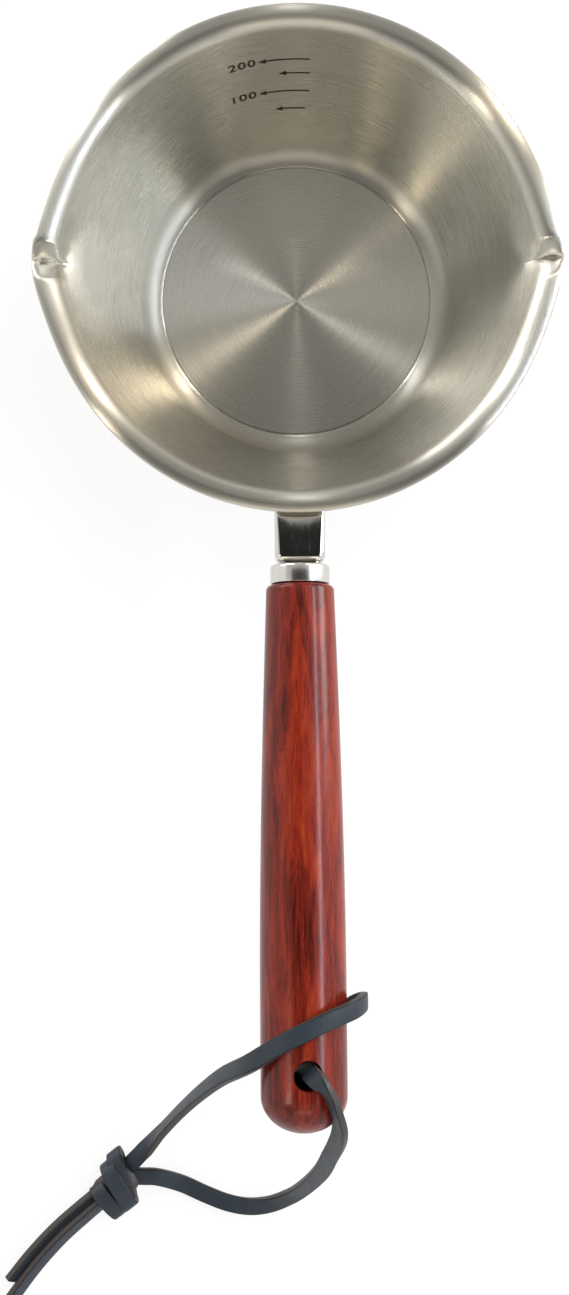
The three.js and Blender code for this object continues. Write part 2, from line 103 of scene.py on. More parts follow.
class BowlSizes(bpy.types.PropertyGroup):
    """The pressed bowl, its rolled lip and its two spouts."""

    rim_radius: millimetres("Rim radius", "From the middle to the lip's edge, away from the spouts", 57.5)
    height: FloatProperty(
        name="Height", description="From the table to the top of the lip, as in the frame",
        default=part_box("bowl")[1].z, unit="LENGTH")
    base_radius: millimetres("Base radius", "Flat part of the inside base", 34.5)
    sheet: millimetres("Sheet", "Thickness of the steel", 1)
    base_corner: millimetres("Base corner", "Inside radius between base and wall", 4.2)
    base_line: millimetres("Base line", "Half width of the fine line pressed round the base", 0.3)
    lip_roll: millimetres("Lip roll", "Top radius of the rolled lip", 3.8)
    lip_turn_down: degrees("Lip turn-down", "How far the roll goes on past its crest", 25)
    spout_reach: millimetres("Spout reach", "How far a spout's tip stands out from the round rim", 2.8)
    spout_spread: degrees("Spout spread", "Angle off the tip at which a spout stands out half as far", 11.5)
    spout_rise: millimetres("Spout rise", "How far below the rim the wall starts to lean into a spout", 14)
    groove_depth: millimetres("Groove depth", "Depth of the pouring groove in the lip", 2)
    groove_half_width: millimetres("Groove half width", "From the groove's middle to its shoulder", 4.2)
    crease_depth: millimetres("Crease depth", "Further depth of the crease in the groove's middle", 0.7)
    crease_half_width: millimetres("Crease half width", "From its middle to where a third of it is left", 0.5)


class MarkSizes(bpy.types.PropertyGroup):
    """The capacity marks etched on the inside of the wall."""

    upper_height: millimetres("Upper mark", "Height of the upper numbered line", 37.5)
    upper_half_height: millimetres("Upper short mark", "Height of the upper short line", 32.6)
    lower_height: millimetres("Lower mark", "Height of the lower numbered line", 26.1)
    lower_half_height: millimetres("Lower short mark", "Height of the lower short line", 19.5)
    line_width: millimetres("Line width", "Width of an etched line", 0.5)
    digit_height: millimetres("Digit height", "Height of a digit up the wall", 2.6)
    film: millimetres("Film", "Thickness of the etched film, half of it over the steel", 0.06)


class NeckSizes(bpy.types.PropertyGroup):
    """The bracket between bowl and handle, and the ferrule."""

    width: millimetres("Bracket width", "Across the bracket's sides", 11.6)
    top: millimetres("Bracket top", "Height of the top over the handle's axis", 5.2)
    drop: millimetres("Bracket drop", "How far the sides reach below the axis", 3.74)
    sheet: millimetres("Bracket sheet", "Thickness of the bracket", 1.2)
    bowl_bend: millimetres("Bend at the bowl", "Radius of the long bends at the bowl", 0.9)
    ferrule_bend: millimetres("Bend at the ferrule", "Radius of the long bends at the ferrule", 1.7)
    end_round: millimetres("End round", "Rounding of the top into the end wall", 1.7)
    flare: millimetres("Flare", "Radius at which the bracket spreads on to the bowl", 2.2)
    flange_width: millimetres("Flange width", "Width of the plate on the bowl", 27)
    flange_height: millimetres("Flange height", "Height of the plate on the bowl", 17)
    flange_corner: millimetres("Flange corner", "Corner radius of the plate on the bowl", 5)
    ferrule_radius: millimetres("Ferrule radius", "Outside of the ferrule", 6.9)
    ferrule_length: millimetres("Ferrule length", "Along the handle", 4.4)
    ferrule_sheet: millimetres("Ferrule sheet", "Thickness of the ferrule", 0.8)
    ferrule_round: millimetres("Ferrule round", "Rounding of the ferrule's front edge", 0.7)
    bolt_hole: millimetres("Bolt hole", "Radius of the hole that the bolt passes", 2.3)


class HandleSizes(bpy.types.PropertyGroup):
    """The turned handle and its place."""

    tilt: degrees("Tilt", "How far the handle rises from level", 5)
    ferrule_front: millimetres("Ferrule front", "From the bowl's middle to the ferrule", 69.5)
    axis_height: millimetres("Axis height", "The handle's axis at the ferrule's front", 40.9)
    length: millimetres("Length", "From the shoulder to the rounded end", 124)
    front_radius: millimetres("Front radius", "Radius at the shoulder", 7.85)
    belly_radius: millimetres("Belly radius", "Largest radius", 9.85)
    belly_at: millimetres("Belly at", "From the shoulder to where it is thickest", 95)
    front_round: millimetres("Front round", "Rounding of the shoulder's edge", 1.2)
    dome: millimetres("Dome", "Length of the rounded end", 8.3)
    hole_radius: millimetres("Hole radius", "Radius of the hanging hole", 3.15)
    hole_round: millimetres("Hole round", "Rounding of the hanging hole's edges", 0.9)
    hole_from_end: millimetres("Hole from end", "From the rounded end to the hole", 13.9)
    hole_turn: degrees("Hole turn", "How far the hole's top leans to the right", 5.5)
    tenon_radius: millimetres("Tenon radius", "Radius of the tenon inside the ferrule", 5.8)
    bore_depth: millimetres("Bore depth", "Depth of the bolt's bore", 42)


class StrapSizes(bpy.types.PropertyGroup):
    """The leather strap and its knot."""

    width: millimetres("Width", "Width of the strap", 4.2)
    thickness: millimetres("Thickness", "Thickness of the leather", 1.8)
    corner: millimetres("Corner", "Rounding of the cut edges", 0.42)
    lying: millimetres("Lying height", "Height of the strap's middle where it lies tilted", 1.9)
    lean: millimetres("Lean", "How far the strap lies aside at the hole's ends", 0.7)
    lean_turn: degrees("Lean turn", "Way in which it lies aside, from +X towards the bowl", 41)
    ring_space: millimetres("Ring space", "Length of strap between two rings of its mesh", 0.7)
    knot_right: millimetres("Knot right", "From the hanging hole to the knot's middle, along +X", -47.6)
    knot_forward: millimetres("Knot forward", "From the hanging hole to the knot's middle, along +Y", -40.7)
    knot_height: millimetres("Knot height", "Height of the knot's middle", 4.25)
    knot_half_length: millimetres("Knot half length", "From its middle to where the strands come out", 6.9)
    knot_turn: degrees("Knot turn", "Angle of the knot's length from +X", 38)
    tail_a_length: millimetres("Tail a length", "Length of the first tail past the knot", 29)
    tail_b_length: millimetres("Tail b length", "Length of the second tail past the knot", 32)
    tail_lying: millimetres("Tail height", "Height of a tail's middle, which stands nearly on edge", 2.6)
    tail_swing: millimetres("Tail swing", "How far the first tail's end lies to the right", 4)
    tail_spread: FloatProperty(
        name="Tail spread", description="Share by which the tails draw apart towards their ends", default=0.1)


class FinishColours(bpy.types.PropertyGroup):
    """Colours of the finishes and of the stage."""

    steel: tint("Steel", "Brushed steel", "#cac7bd")
    steel_stroke: tint("Steel stroke", "Darker brush strokes", "#bcb9ae")
    polished: tint("Polished steel", "Bracket and ferrule", "#d3d1cb")
    zinc: tint("Zinc", "Plating of the bolt", "#b4b8bb")
    zinc_stain: tint("Zinc stain", "Yellowish clouds in the plating", "#b0a98f")
    etch: tint("Etch", "Etched marks", "#1f160f")
    etch_worn: tint("Etch, worn", "Paler spots in the etched marks", "#3f3124")
    wood_dark: tint("Wood, dark", "Dark streaks and pores", "#340a06")
    wood: tint("Wood", "Red-brown ground", "#711d0d")
    wood_bright: tint("Wood, bright", "Orange streaks", "#8e3611")
    # The hole's bare wall is painted nearly black: painted shade inside the hanging hole.
    bare_wood_and_hole_shade: tint("Wood, bare", "Drilled wall of the hanging hole", "#120605")
    leather: tint("Leather", "Finished faces of the strap", "#1e2731")
    # Near-black along the rounded corners between the faces and the cut edges.
    leather_corner: tint("Leather corner", "Burnished corners", "#0a0b0d")
    leather_edge: tint("Leather edge", "Cut edges", "#332f2e")
    floor: tint("Floor", "Pale floor", "#f4f4f3")
    card: tint("Card", "Dark cards over the handle and beyond the bowl, which the steel mirrors", "#2b2d2c")
    ceiling: tint("Ceiling", "Pale card over the bowl, which the steel mirrors", "#c8c7c3")


class StageSettings(bpy.types.PropertyGroup):
    """Camera and lights."""

    camera_right: millimetres("Camera right", "From the bowl's middle to the lens, along +X", -3.7)
    camera_forward: millimetres("Camera forward", "From the bowl's middle to the lens, along +Y", -88.43)
    camera_height: millimetres("Camera height", "Height of the lens over the table", 435)
    camera_turn: FloatProperty(
        name="Camera turn", description="Turn of the camera about its line of sight", default=-0.0073,
        unit="ROTATION")
    lens: FloatProperty(
        name="Lens", description="Focal length for a 36 mm frame", default=47.27, unit="CAMERA")
    room_light: FloatProperty(
        name="Room light", description="Strength of the light from all round", default=0.5)
    key_power: watts("Key power", "Softbox overhead, which the steel doesn't mirror", 6)
    warm_power: watts("Warm power", "Warm strip light on the upper right", 2.6)
    thin_power: watts("Thin power", "Thin strip light on the upper left", 1.4)
    near_power: watts("Near power", "Softbox and warm strip on the handle's side; the thin strip has half", 1)
    far_power: watts("Far power", "Thin strip light beyond the bowl", 0.3)
    side_power: watts("Side power", "Long strip light beside the handle", 5.4)
    low_power: watts("Low power", "Each low softbox, which the lip mirrors", 7.5)


# Modelling


def start_piece():
    """Leaves edit mode and clears the selection, so that an operator acts on the new piece alone."""
    if bpy.context.mode != "OBJECT":
        bpy.ops.object.mode_set(mode="OBJECT")
    bpy.ops.object.select_all(action="DESELECT")


def add_new(name, add, **settings):
    """Calls an operator that adds an object, and names what it adds."""
    start_piece()
    add(**settings)
    piece = bpy.context.object
    piece.name = piece.data.name = name
    return piece


def add_mesh(name, points, faces):
    """A new object from points and faces."""
    mesh = bpy.data.meshes.new(name)
    mesh.from_pydata([tuple(p) for p in points], [], faces)
    piece = bpy.data.objects.new(name, mesh)
    bpy.context.scene.collection.objects.link(piece)
    return piece


def pick(piece):
    """Selects a piece alone and makes it active."""
    start_piece()
    bpy.context.view_layer.objects.active = piece
    piece.select_set(True)


def edit_all():
    """Enters edit mode with the whole mesh selected."""
    bpy.ops.object.mode_set(mode="EDIT")
    bpy.ops.mesh.select_all(action="SELECT")


def turn_faces_out():
    """Points all faces outwards and leaves edit mode."""
    bpy.ops.mesh.select_all(action="SELECT")
    bpy.ops.mesh.normals_make_consistent(inside=False)
    bpy.ops.object.mode_set(mode="OBJECT")


def turn_on_lathe(name, section, sides):
    """Turns a section of (radius, height) pairs about Z, ring by ring, and closes both ends."""
    piece = add_new(name, bpy.ops.mesh.primitive_circle_add, vertices=sides, radius=section[0][0])
    edit_all()
    bpy.ops.transform.translate(value=(0, 0, section[0][1]))
    for (radius, height), (next_radius, next_height) in zip(section, section[1:]):
        grow = next_radius / radius
        bpy.ops.mesh.extrude_edges_move(TRANSFORM_OT_translate={"value": (0, 0, next_height - height)})
        bpy.ops.transform.resize(value=(grow, grow, 1), center_override=(0, 0, 0))
    bpy.ops.mesh.select_all(action="SELECT")
    bpy.ops.mesh.fill_holes(sides=0)
    turn_faces_out()
    return piece


def apply_modifier(piece, kind, **settings):
    """Adds a modifier with its settings and applies it."""
    pick(piece)
    modifier = piece.modifiers.new(kind.title(), kind)
    for name, value in settings.items():
        setattr(modifier, name, value)
    bpy.ops.object.modifier_apply(modifier=modifier.name)


def thicken(piece, sheet, **settings):
    """Gives a face its sheet thickness."""
    apply_modifier(piece, "SOLIDIFY", thickness=sheet, **settings)


def round_edges(piece, width, segments, sharp):
    """Rounds the edges that are sharper than an angle in degrees."""
    apply_modifier(
        piece, "BEVEL", width=width, segments=segments, limit_method="ANGLE", angle_limit=math.radians(sharp))


def cut_away(piece, drill):
    """Cuts a piece with a drill, which goes afterwards."""
    apply_modifier(piece, "BOOLEAN", object=drill, operation="DIFFERENCE", solver="EXACT")
    bpy.data.objects.remove(drill)


def join_pieces(name, pieces):
    """Joins pieces into the first of them."""
    pick(pieces[0])
    for piece in pieces:
        piece.select_set(True)
    bpy.ops.object.join()
    pieces[0].name = pieces[0].data.name = name
    return pieces[0]


def finish_piece(piece, material, slot, *nodes, crease=35):
    """Smooths a piece, gives it its finish, and sets it in the frame in place of its CAD nodes."""
    pick(piece)
    bpy.ops.object.shade_smooth_by_angle(angle=math.radians(crease))
    piece.data.materials.clear()
    piece.data.materials.append(material)
    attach(piece, "root")
    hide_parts(*nodes)


def arc(centre, radius, start, end, steps):
    """Points of an arc, both ends included."""
    angles = [start + (end - start) * i / steps for i in range(steps + 1)]
    return [(centre[0] + radius * math.cos(a), centre[1] + radius * math.sin(a)) for a in angles]


def between(start, end, steps):
    """Points that split a straight line into steps, without its ends."""
    shares = [i / steps for i in range(1, steps)]
    return [tuple(a + (b - a) * share for a, b in zip(start, end)) for share in shares]


def ease(values, low, high):
    """0 below low, 1 above high, and a smooth rise between them."""
    share = np.clip((values - low) / (high - low), 0, 1)
    return share * share * (3 - 2 * share)


# Bowl


def wall_line(bowl):
    """Centres of the base corner and of the lip's roll, and the slope of the wall that touches both."""
    corner = Vector((bowl.base_radius, bowl.sheet + bowl.base_corner))
    roll_radius = bowl.rim_radius - bowl.lip_roll * math.sin(bowl.lip_turn_down)
    roll = Vector((roll_radius, bowl.height - bowl.lip_roll))
    run = roll - corner
    slope = math.atan2(run.y, run.x) + math.asin((bowl.base_corner + bowl.lip_roll) / run.length)
    return corner, roll, slope


def wall_radius(bowl, height, offset):
    """Radius of the wall's inner face at a height, moved out through the wall by offset."""
    corner, _, slope = wall_line(bowl)
    reach = bowl.base_corner + offset
    foot = (corner.x + reach * math.sin(slope), corner.y - reach * math.cos(slope))
    return foot[0] + (height - foot[1]) / math.tan(slope)


def bowl_section(bowl):
    """From the middle of the inside base, up the wall, over the lip, and back to the middle underneath."""
    corner, roll, slope = wall_line(bowl)
    foot, crest = slope - QUARTER, slope + QUARTER
    edge_radius = bowl.sheet / 2
    edge_middle = bowl.lip_roll - edge_radius
    edge_angle = QUARTER - bowl.lip_turn_down
    edge = (roll.x + edge_middle * math.cos(edge_angle), roll.y + edge_middle * math.sin(edge_angle))
    middle = 0.4 * MM
    inner_corner = arc(corner, bowl.base_corner, -QUARTER, foot, 12)
    inner_roll = arc(roll, bowl.lip_roll, crest, edge_angle, 20)
    round_edge = arc(edge, edge_radius, edge_angle, edge_angle - math.pi, 6)[1:-1]
    outer_roll = arc(roll, bowl.lip_roll - bowl.sheet, edge_angle, crest, 12)
    outer_corner = arc(corner, bowl.base_corner + bowl.sheet, foot, -QUARTER, 10)
    line = bowl.base_radius - bowl.base_line
    shoulders = [(line - share * bowl.base_line, bowl.sheet) for share in (3, 1.5, 1)]
    pressed_line = [*shoulders, (line, bowl.sheet - bowl.base_line / 2)]
    inside_base = [(middle, bowl.sheet), *between((middle, bowl.sheet), pressed_line[0], 6), *pressed_line]
    inner_wall = between(inner_corner[-1], inner_roll[0], 20)
    outer_wall = between(outer_roll[-1], outer_corner[0], 14)
    outside_base = [*between(outer_corner[-1], (middle, 0), 4), (middle, 0)]
    inside = [*inside_base, *inner_corner, *inner_wall, *inner_roll]
    return [*inside, *round_edge, *outer_roll, *outer_wall, *outer_corner, *outside_base]


def form_spouts(mesh, bowl):
    """Gathers the mesh's sides at the spouts, leans the wall out there and presses grooves into the lip."""
    gathering = 0.75  # 0 leaves the sides evenly spaced
    shoulder = 0.03  # rounds the groove's shoulders
    edge_share = 0.5  # of the groove's depth is gone at the lip's edge
    points = np.empty(len(mesh.vertices) * 3)
    mesh.vertices.foreach_get("co", points)
    x, y, z = points.reshape(-1, 3).T
    radius = np.hypot(x, y)
    even = np.arctan2(y, x)
    angle = even - gathering * np.sin(2 * even) / 2
    off_tip = np.arctan2(np.abs(np.sin(angle)), np.abs(np.cos(angle)))
    aside = off_tip * bowl.rim_radius
    high = ease(z, bowl.height - bowl.spout_rise, bowl.height)
    lip = ease(z, bowl.height - 2 * bowl.lip_roll, bowl.height)
    stand = bowl.spout_reach * high / (1 + (off_tip / bowl.spout_spread) ** 2)
    inside = 1 - aside / bowl.groove_half_width
    flanks = (inside + np.sqrt(inside**2 + shoulder)) / 2
    crease = np.exp(-aside / bowl.crease_half_width)
    edge = 1 - edge_share * ease(radius, bowl.rim_radius - 2 * bowl.sheet, bowl.rim_radius)
    sink = lip * edge * (bowl.groove_depth * flanks + bowl.crease_depth * crease)
    reach = radius + stand
    moved = np.stack([reach * np.cos(angle), reach * np.sin(angle), z - sink], axis=1)
    mesh.vertices.foreach_set("co", moved.ravel())
    mesh.update()


# Neck and handle


def handle_frame(handle):
    """Local x runs across the handle, y back towards the bowl and z up; the ferrule's front is at y = 0."""
    place = Matrix.Translation((0, -handle.ferrule_front, handle.axis_height))
    return place @ Matrix.Rotation(-handle.tilt, 4, "X")


def lathe_to_handle(handle):
    """Moves a piece turned about Z so that its heights run along the handle, away from the bowl."""
    return handle_frame(handle) @ Matrix.Rotation(QUARTER, 4, "X")


def shoulder_at(neck):
    """Distance from the ferrule's front to the thick part of the handle."""
    return neck.ferrule_length + GAP


def hole_from_front(neck, handle):
    """Distance from the ferrule's front to the hanging hole."""
    return shoulder_at(neck) + handle.length - handle.hole_from_end


def wood_radius(handle, distance):
    """The wood's radius at a distance past its shoulder, with the rounding of its end."""
    share = min(max(distance / handle.belly_at, 0), 1)
    swell = (handle.belly_radius - handle.front_radius) * math.sin(share * QUARTER)
    into_dome = min(max((distance - handle.length + handle.dome) / handle.dome, 0), 1)
    return (handle.front_radius + swell) * math.sqrt(1 - into_dome**2)


def handle_section(neck, handle):
    """From the end of the bolt's bore, out over the tenon and shoulder, to the rounded end."""
    middle = 0.05 * MM
    body_steps, dome_steps = 48, 16
    shoulder = shoulder_at(neck)
    tenon_front = neck.ferrule_sheet + GAP
    bore = [(middle, handle.bore_depth), (neck.bolt_hole, handle.bore_depth), (neck.bolt_hole, tenon_front)]
    tenon = [(handle.tenon_radius, tenon_front), (handle.tenon_radius, shoulder)]
    rounding = handle.front_round
    front = arc((wood_radius(handle, rounding) - rounding, shoulder + rounding), rounding, -QUARTER, 0, 8)
    dome_start = handle.length - handle.dome
    body = [rounding + (dome_start - rounding) * (i + 1) / body_steps for i in range(body_steps)]
    dome_shares = [math.sin(QUARTER * (i + 1) / (dome_steps + 1)) for i in range(dome_steps)]
    dome = [dome_start + handle.dome * share for share in dome_shares]
    grip = [(wood_radius(handle, d), shoulder + d) for d in [*body, *dome]]
    return [*bore, *tenon, *front, *grip, (middle, shoulder + handle.length)]


def channel_line(neck, bend, inset):
    """(x, z, outward x, outward z) round the bracket's three sides, from one lower edge to the other."""
    half, top = neck.width / 2 - inset, neck.top - inset
    side_steps, bend_steps = 5, 8
    low = [-neck.drop + (top - bend + neck.drop) * i / side_steps for i in range(side_steps)]
    left = [(-half, z, -1, 0) for z in low]
    middle = Vector((-half + bend, top - bend))
    bent = []
    for i in range(bend_steps + 1):
        turn = math.pi - QUARTER * i / bend_steps
        out_x, out_z = math.cos(turn), math.sin(turn)
        bent.append((middle.x + bend * out_x, middle.y + bend * out_z, out_x, out_z))
    flat = [(x, top, 0, 1) for x in (-(half - bend) / 2, 0)]
    line = [*left, *bent, *flat]
    return [*line, *[(-x, z, -out_x, out_z) for x, z, out_x, out_z in reversed(line[:-1])]]


def reach_wall(bowl, neck, handle, x, z):
    """How far towards the bowl a line at (x, z) of the handle's frame runs to the plate on the wall."""
    place = handle_frame(handle)
    offset = bowl.sheet + GAP + neck.sheet
    y = handle.ferrule_front - bowl.rim_radius
    for _ in range(6):
        height = (place @ Vector((x, y, z))).z
        wall = wall_radius(bowl, height, offset)
        goal = -math.sqrt(wall**2 - x**2)
        y += (goal - (place @ Vector((x, y, z))).y) / math.cos(handle.tilt)
    return y


def channel_rings(bowl, neck, handle):
    """Rings of the bracket's outer face, from its end wall to where it spreads on to the bowl."""
    place = handle_frame(handle)
    start = GAP + neck.end_round
    end_steps, arm_steps, flare_steps = 6, 10, 8
    rings = []
    for i in range(end_steps + 1):
        turn = QUARTER * (1 - i / end_steps)
        inset = neck.end_round * (1 - math.cos(turn))
        y = GAP + neck.end_round * (1 - math.sin(turn))
        line = channel_line(neck, neck.ferrule_bend, inset)
        rings.append([place @ Vector((x, y, z)) for x, z, _, _ in line])
    for share in [i / arm_steps for i in range(1, arm_steps + 1)]:
        bend = neck.ferrule_bend + (neck.bowl_bend - neck.ferrule_bend) * share
        ring = []
        for x, z, _, _ in channel_line(neck, bend, 0):
            end = reach_wall(bowl, neck, handle, x, z) - neck.flare
            ring.append(place @ Vector((x, start + (end - start) * share, z)))
        rings.append(ring)
    for turn in [QUARTER * i / flare_steps for i in range(1, flare_steps + 1)]:
        out = neck.flare * (1 - math.cos(turn))
        ring = []
        for x, z, out_x, out_z in channel_line(neck, neck.bowl_bend, 0):
            x, z = x + out_x * out, z + out_z * out
            y = reach_wall(bowl, neck, handle, x, z) - neck.flare * (1 - math.sin(turn))
            ring.append(place @ Vector((x, y, z)))
        rings.append(ring)
    return rings


def strip_faces(rings, around):
    """Faces between neighbouring rings of `around` points; the rings are open lines."""
    return [
        (r * around + i, r * around + i + 1, (r + 1) * around + i + 1, (r + 1) * around + i)
        for r in range(rings - 1)
        for i in range(around - 1)
    ]


def round_plate(name, width, height, corner, cuts):
    """A plate in x and z with rounded corners, cut across so that it can follow a curve."""
    plate = add_new(name, bpy.ops.mesh.primitive_plane_add, size=1)
    edit_all()
    bpy.ops.transform.resize(value=(width, height, 1), center_override=(0, 0, 0))
    bpy.ops.transform.rotate(value=-QUARTER, orient_axis="X", center_override=(0, 0, 0))
    bpy.ops.mesh.bevel(offset=corner, segments=8, affect="VERTICES")
    for i in range(1, cuts):
        bpy.ops.mesh.select_all(action="SELECT")
        bpy.ops.mesh.bisect(plane_co=(width * (i / cuts - 0.5), 0, 0), plane_no=(1, 0, 0))
    bpy.ops.object.mode_set(mode="OBJECT")
    return plate


# Strap


def smooth_line(stops, space):
    """Evenly spaced points and faces along a centripetal Catmull-Rom curve through (point, face) stops."""
    steps, face_passes = 24, 8
    points = np.array([list(point) for point, _ in stops])
    faces = np.array([list(face.normalized()) for _, face in stops])
    framed = np.vstack([2 * points[0] - points[1], points, 2 * points[-1] - points[-2]])
    share = np.linspace(0, 1, steps, endpoint=False)[:, None]
    dense, turned = [], []
    for i in range(len(points) - 1):
        a, b, c, d = framed[i : i + 4]
        before, here, after = (math.sqrt(np.linalg.norm(q - p)) for p, q in ((a, b), (b, c), (c, d)))
        leave = here * ((b - a) / before - (c - a) / (before + here) + (c - b) / here)
        arrive = here * ((c - b) / here - (d - b) / (here + after) + (d - c) / after)
        cubic = 2 * b - 2 * c + leave + arrive
        square = -3 * b + 3 * c - 2 * leave - arrive
        dense.append(b + leave * share + square * share**2 + cubic * share**3)
        turned.append(faces[i] + (faces[i + 1] - faces[i]) * share)
    dense, turned = np.vstack([*dense, points[-1:]]), np.vstack([*turned, faces[-1:]])
    along = np.concatenate([[0], np.cumsum(np.linalg.norm(np.diff(dense, axis=0), axis=1))])
    places = np.linspace(0, along[-1], max(int(along[-1] / space), 4) + 1)
    line = np.stack([np.interp(places, along, dense[:, k]) for k in range(3)], axis=1)
    face = np.stack([np.interp(places, along, turned[:, k]) for k in range(3)], axis=1)
    for _ in range(face_passes):
        face[1:-1] = (face[:-2] + 2 * face[1:-1] + face[2:]) / 4
    tangent = np.gradient(line, axis=0)
    tangent /= np.linalg.norm(tangent, axis=1)[:, None]
    face -= tangent * np.sum(face * tangent, axis=1)[:, None]
    face /= np.linalg.norm(face, axis=1)[:, None]
    return line, face, np.cross(face, tangent), places


def strap_section(strap):
    """(across, up, edge) round the strap: slightly crowned faces and rounded cut edges, where edge is 1."""
    half, thick, corner = strap.width / 2, strap.thickness / 2, strap.corner
    corner_steps = 4
    quarter = []
    for i in range(corner_steps + 1):
        turn = QUARTER * i / corner_steps
        across, up = half - corner + corner * math.cos(turn), thick - corner + corner * math.sin(turn)
        quarter.append((across, up, 1 - i / corner_steps))
    crown = [(half * 0.4, thick * 1.03, 0), (0, thick * 1.05, 0)]
    right = [*quarter, *crown]
    top = [*right, *[(-across, up, edge) for across, up, edge in reversed(right[:-1])]]
    return [*top, *[(-across, -up, edge) for across, up, edge in top]]


def sweep_strap(name, lines, strap):
    """One mesh of the strap's section swept along each line, with UVs in metres and an edge attribute."""
    section = strap_section(strap)
    around = len(section)
    rim = [math.dist(section[i][:2], section[(i + 1) % around][:2]) for i in range(around)]
    girth = np.concatenate([[0], np.cumsum(rim)])
    points, faces, uvs, edges = [], [], [], []
    for line, face, side, places in lines:
        base = len(points)
        for centre, up, across in zip(line, face, side):
            points += [centre + across * a + up * u for a, u, _ in section]
            edges += [edge for _, _, edge in section]
        for ring in range(len(line) - 1):
            for i in range(around):
                first, second = base + ring * around + i, base + ring * around + (i + 1) % around
                faces.append((first, second, second + around, first + around))
                low, high = places[ring], places[ring + 1]
                uvs += [(low, girth[i]), (low, girth[i + 1]), (high, girth[i + 1]), (high, girth[i])]
        for ring, place in ((0, places[0]), (len(line) - 1, places[-1])):
            faces.append(tuple(base + ring * around + i for i in range(around)))
            uvs += [(place, girth[i]) for i in range(around)]
    piece = add_mesh(name, points, faces)
    layer = piece.data.uv_layers.new(name="along_strap")
    layer.data.foreach_set("uv", np.array(uvs, np.float32).ravel())
    attribute = piece.data.attributes.new("cut_edge", "FLOAT", "POINT")
    attribute.data.foreach_set("value", np.array(edges, np.float32))
    return piece


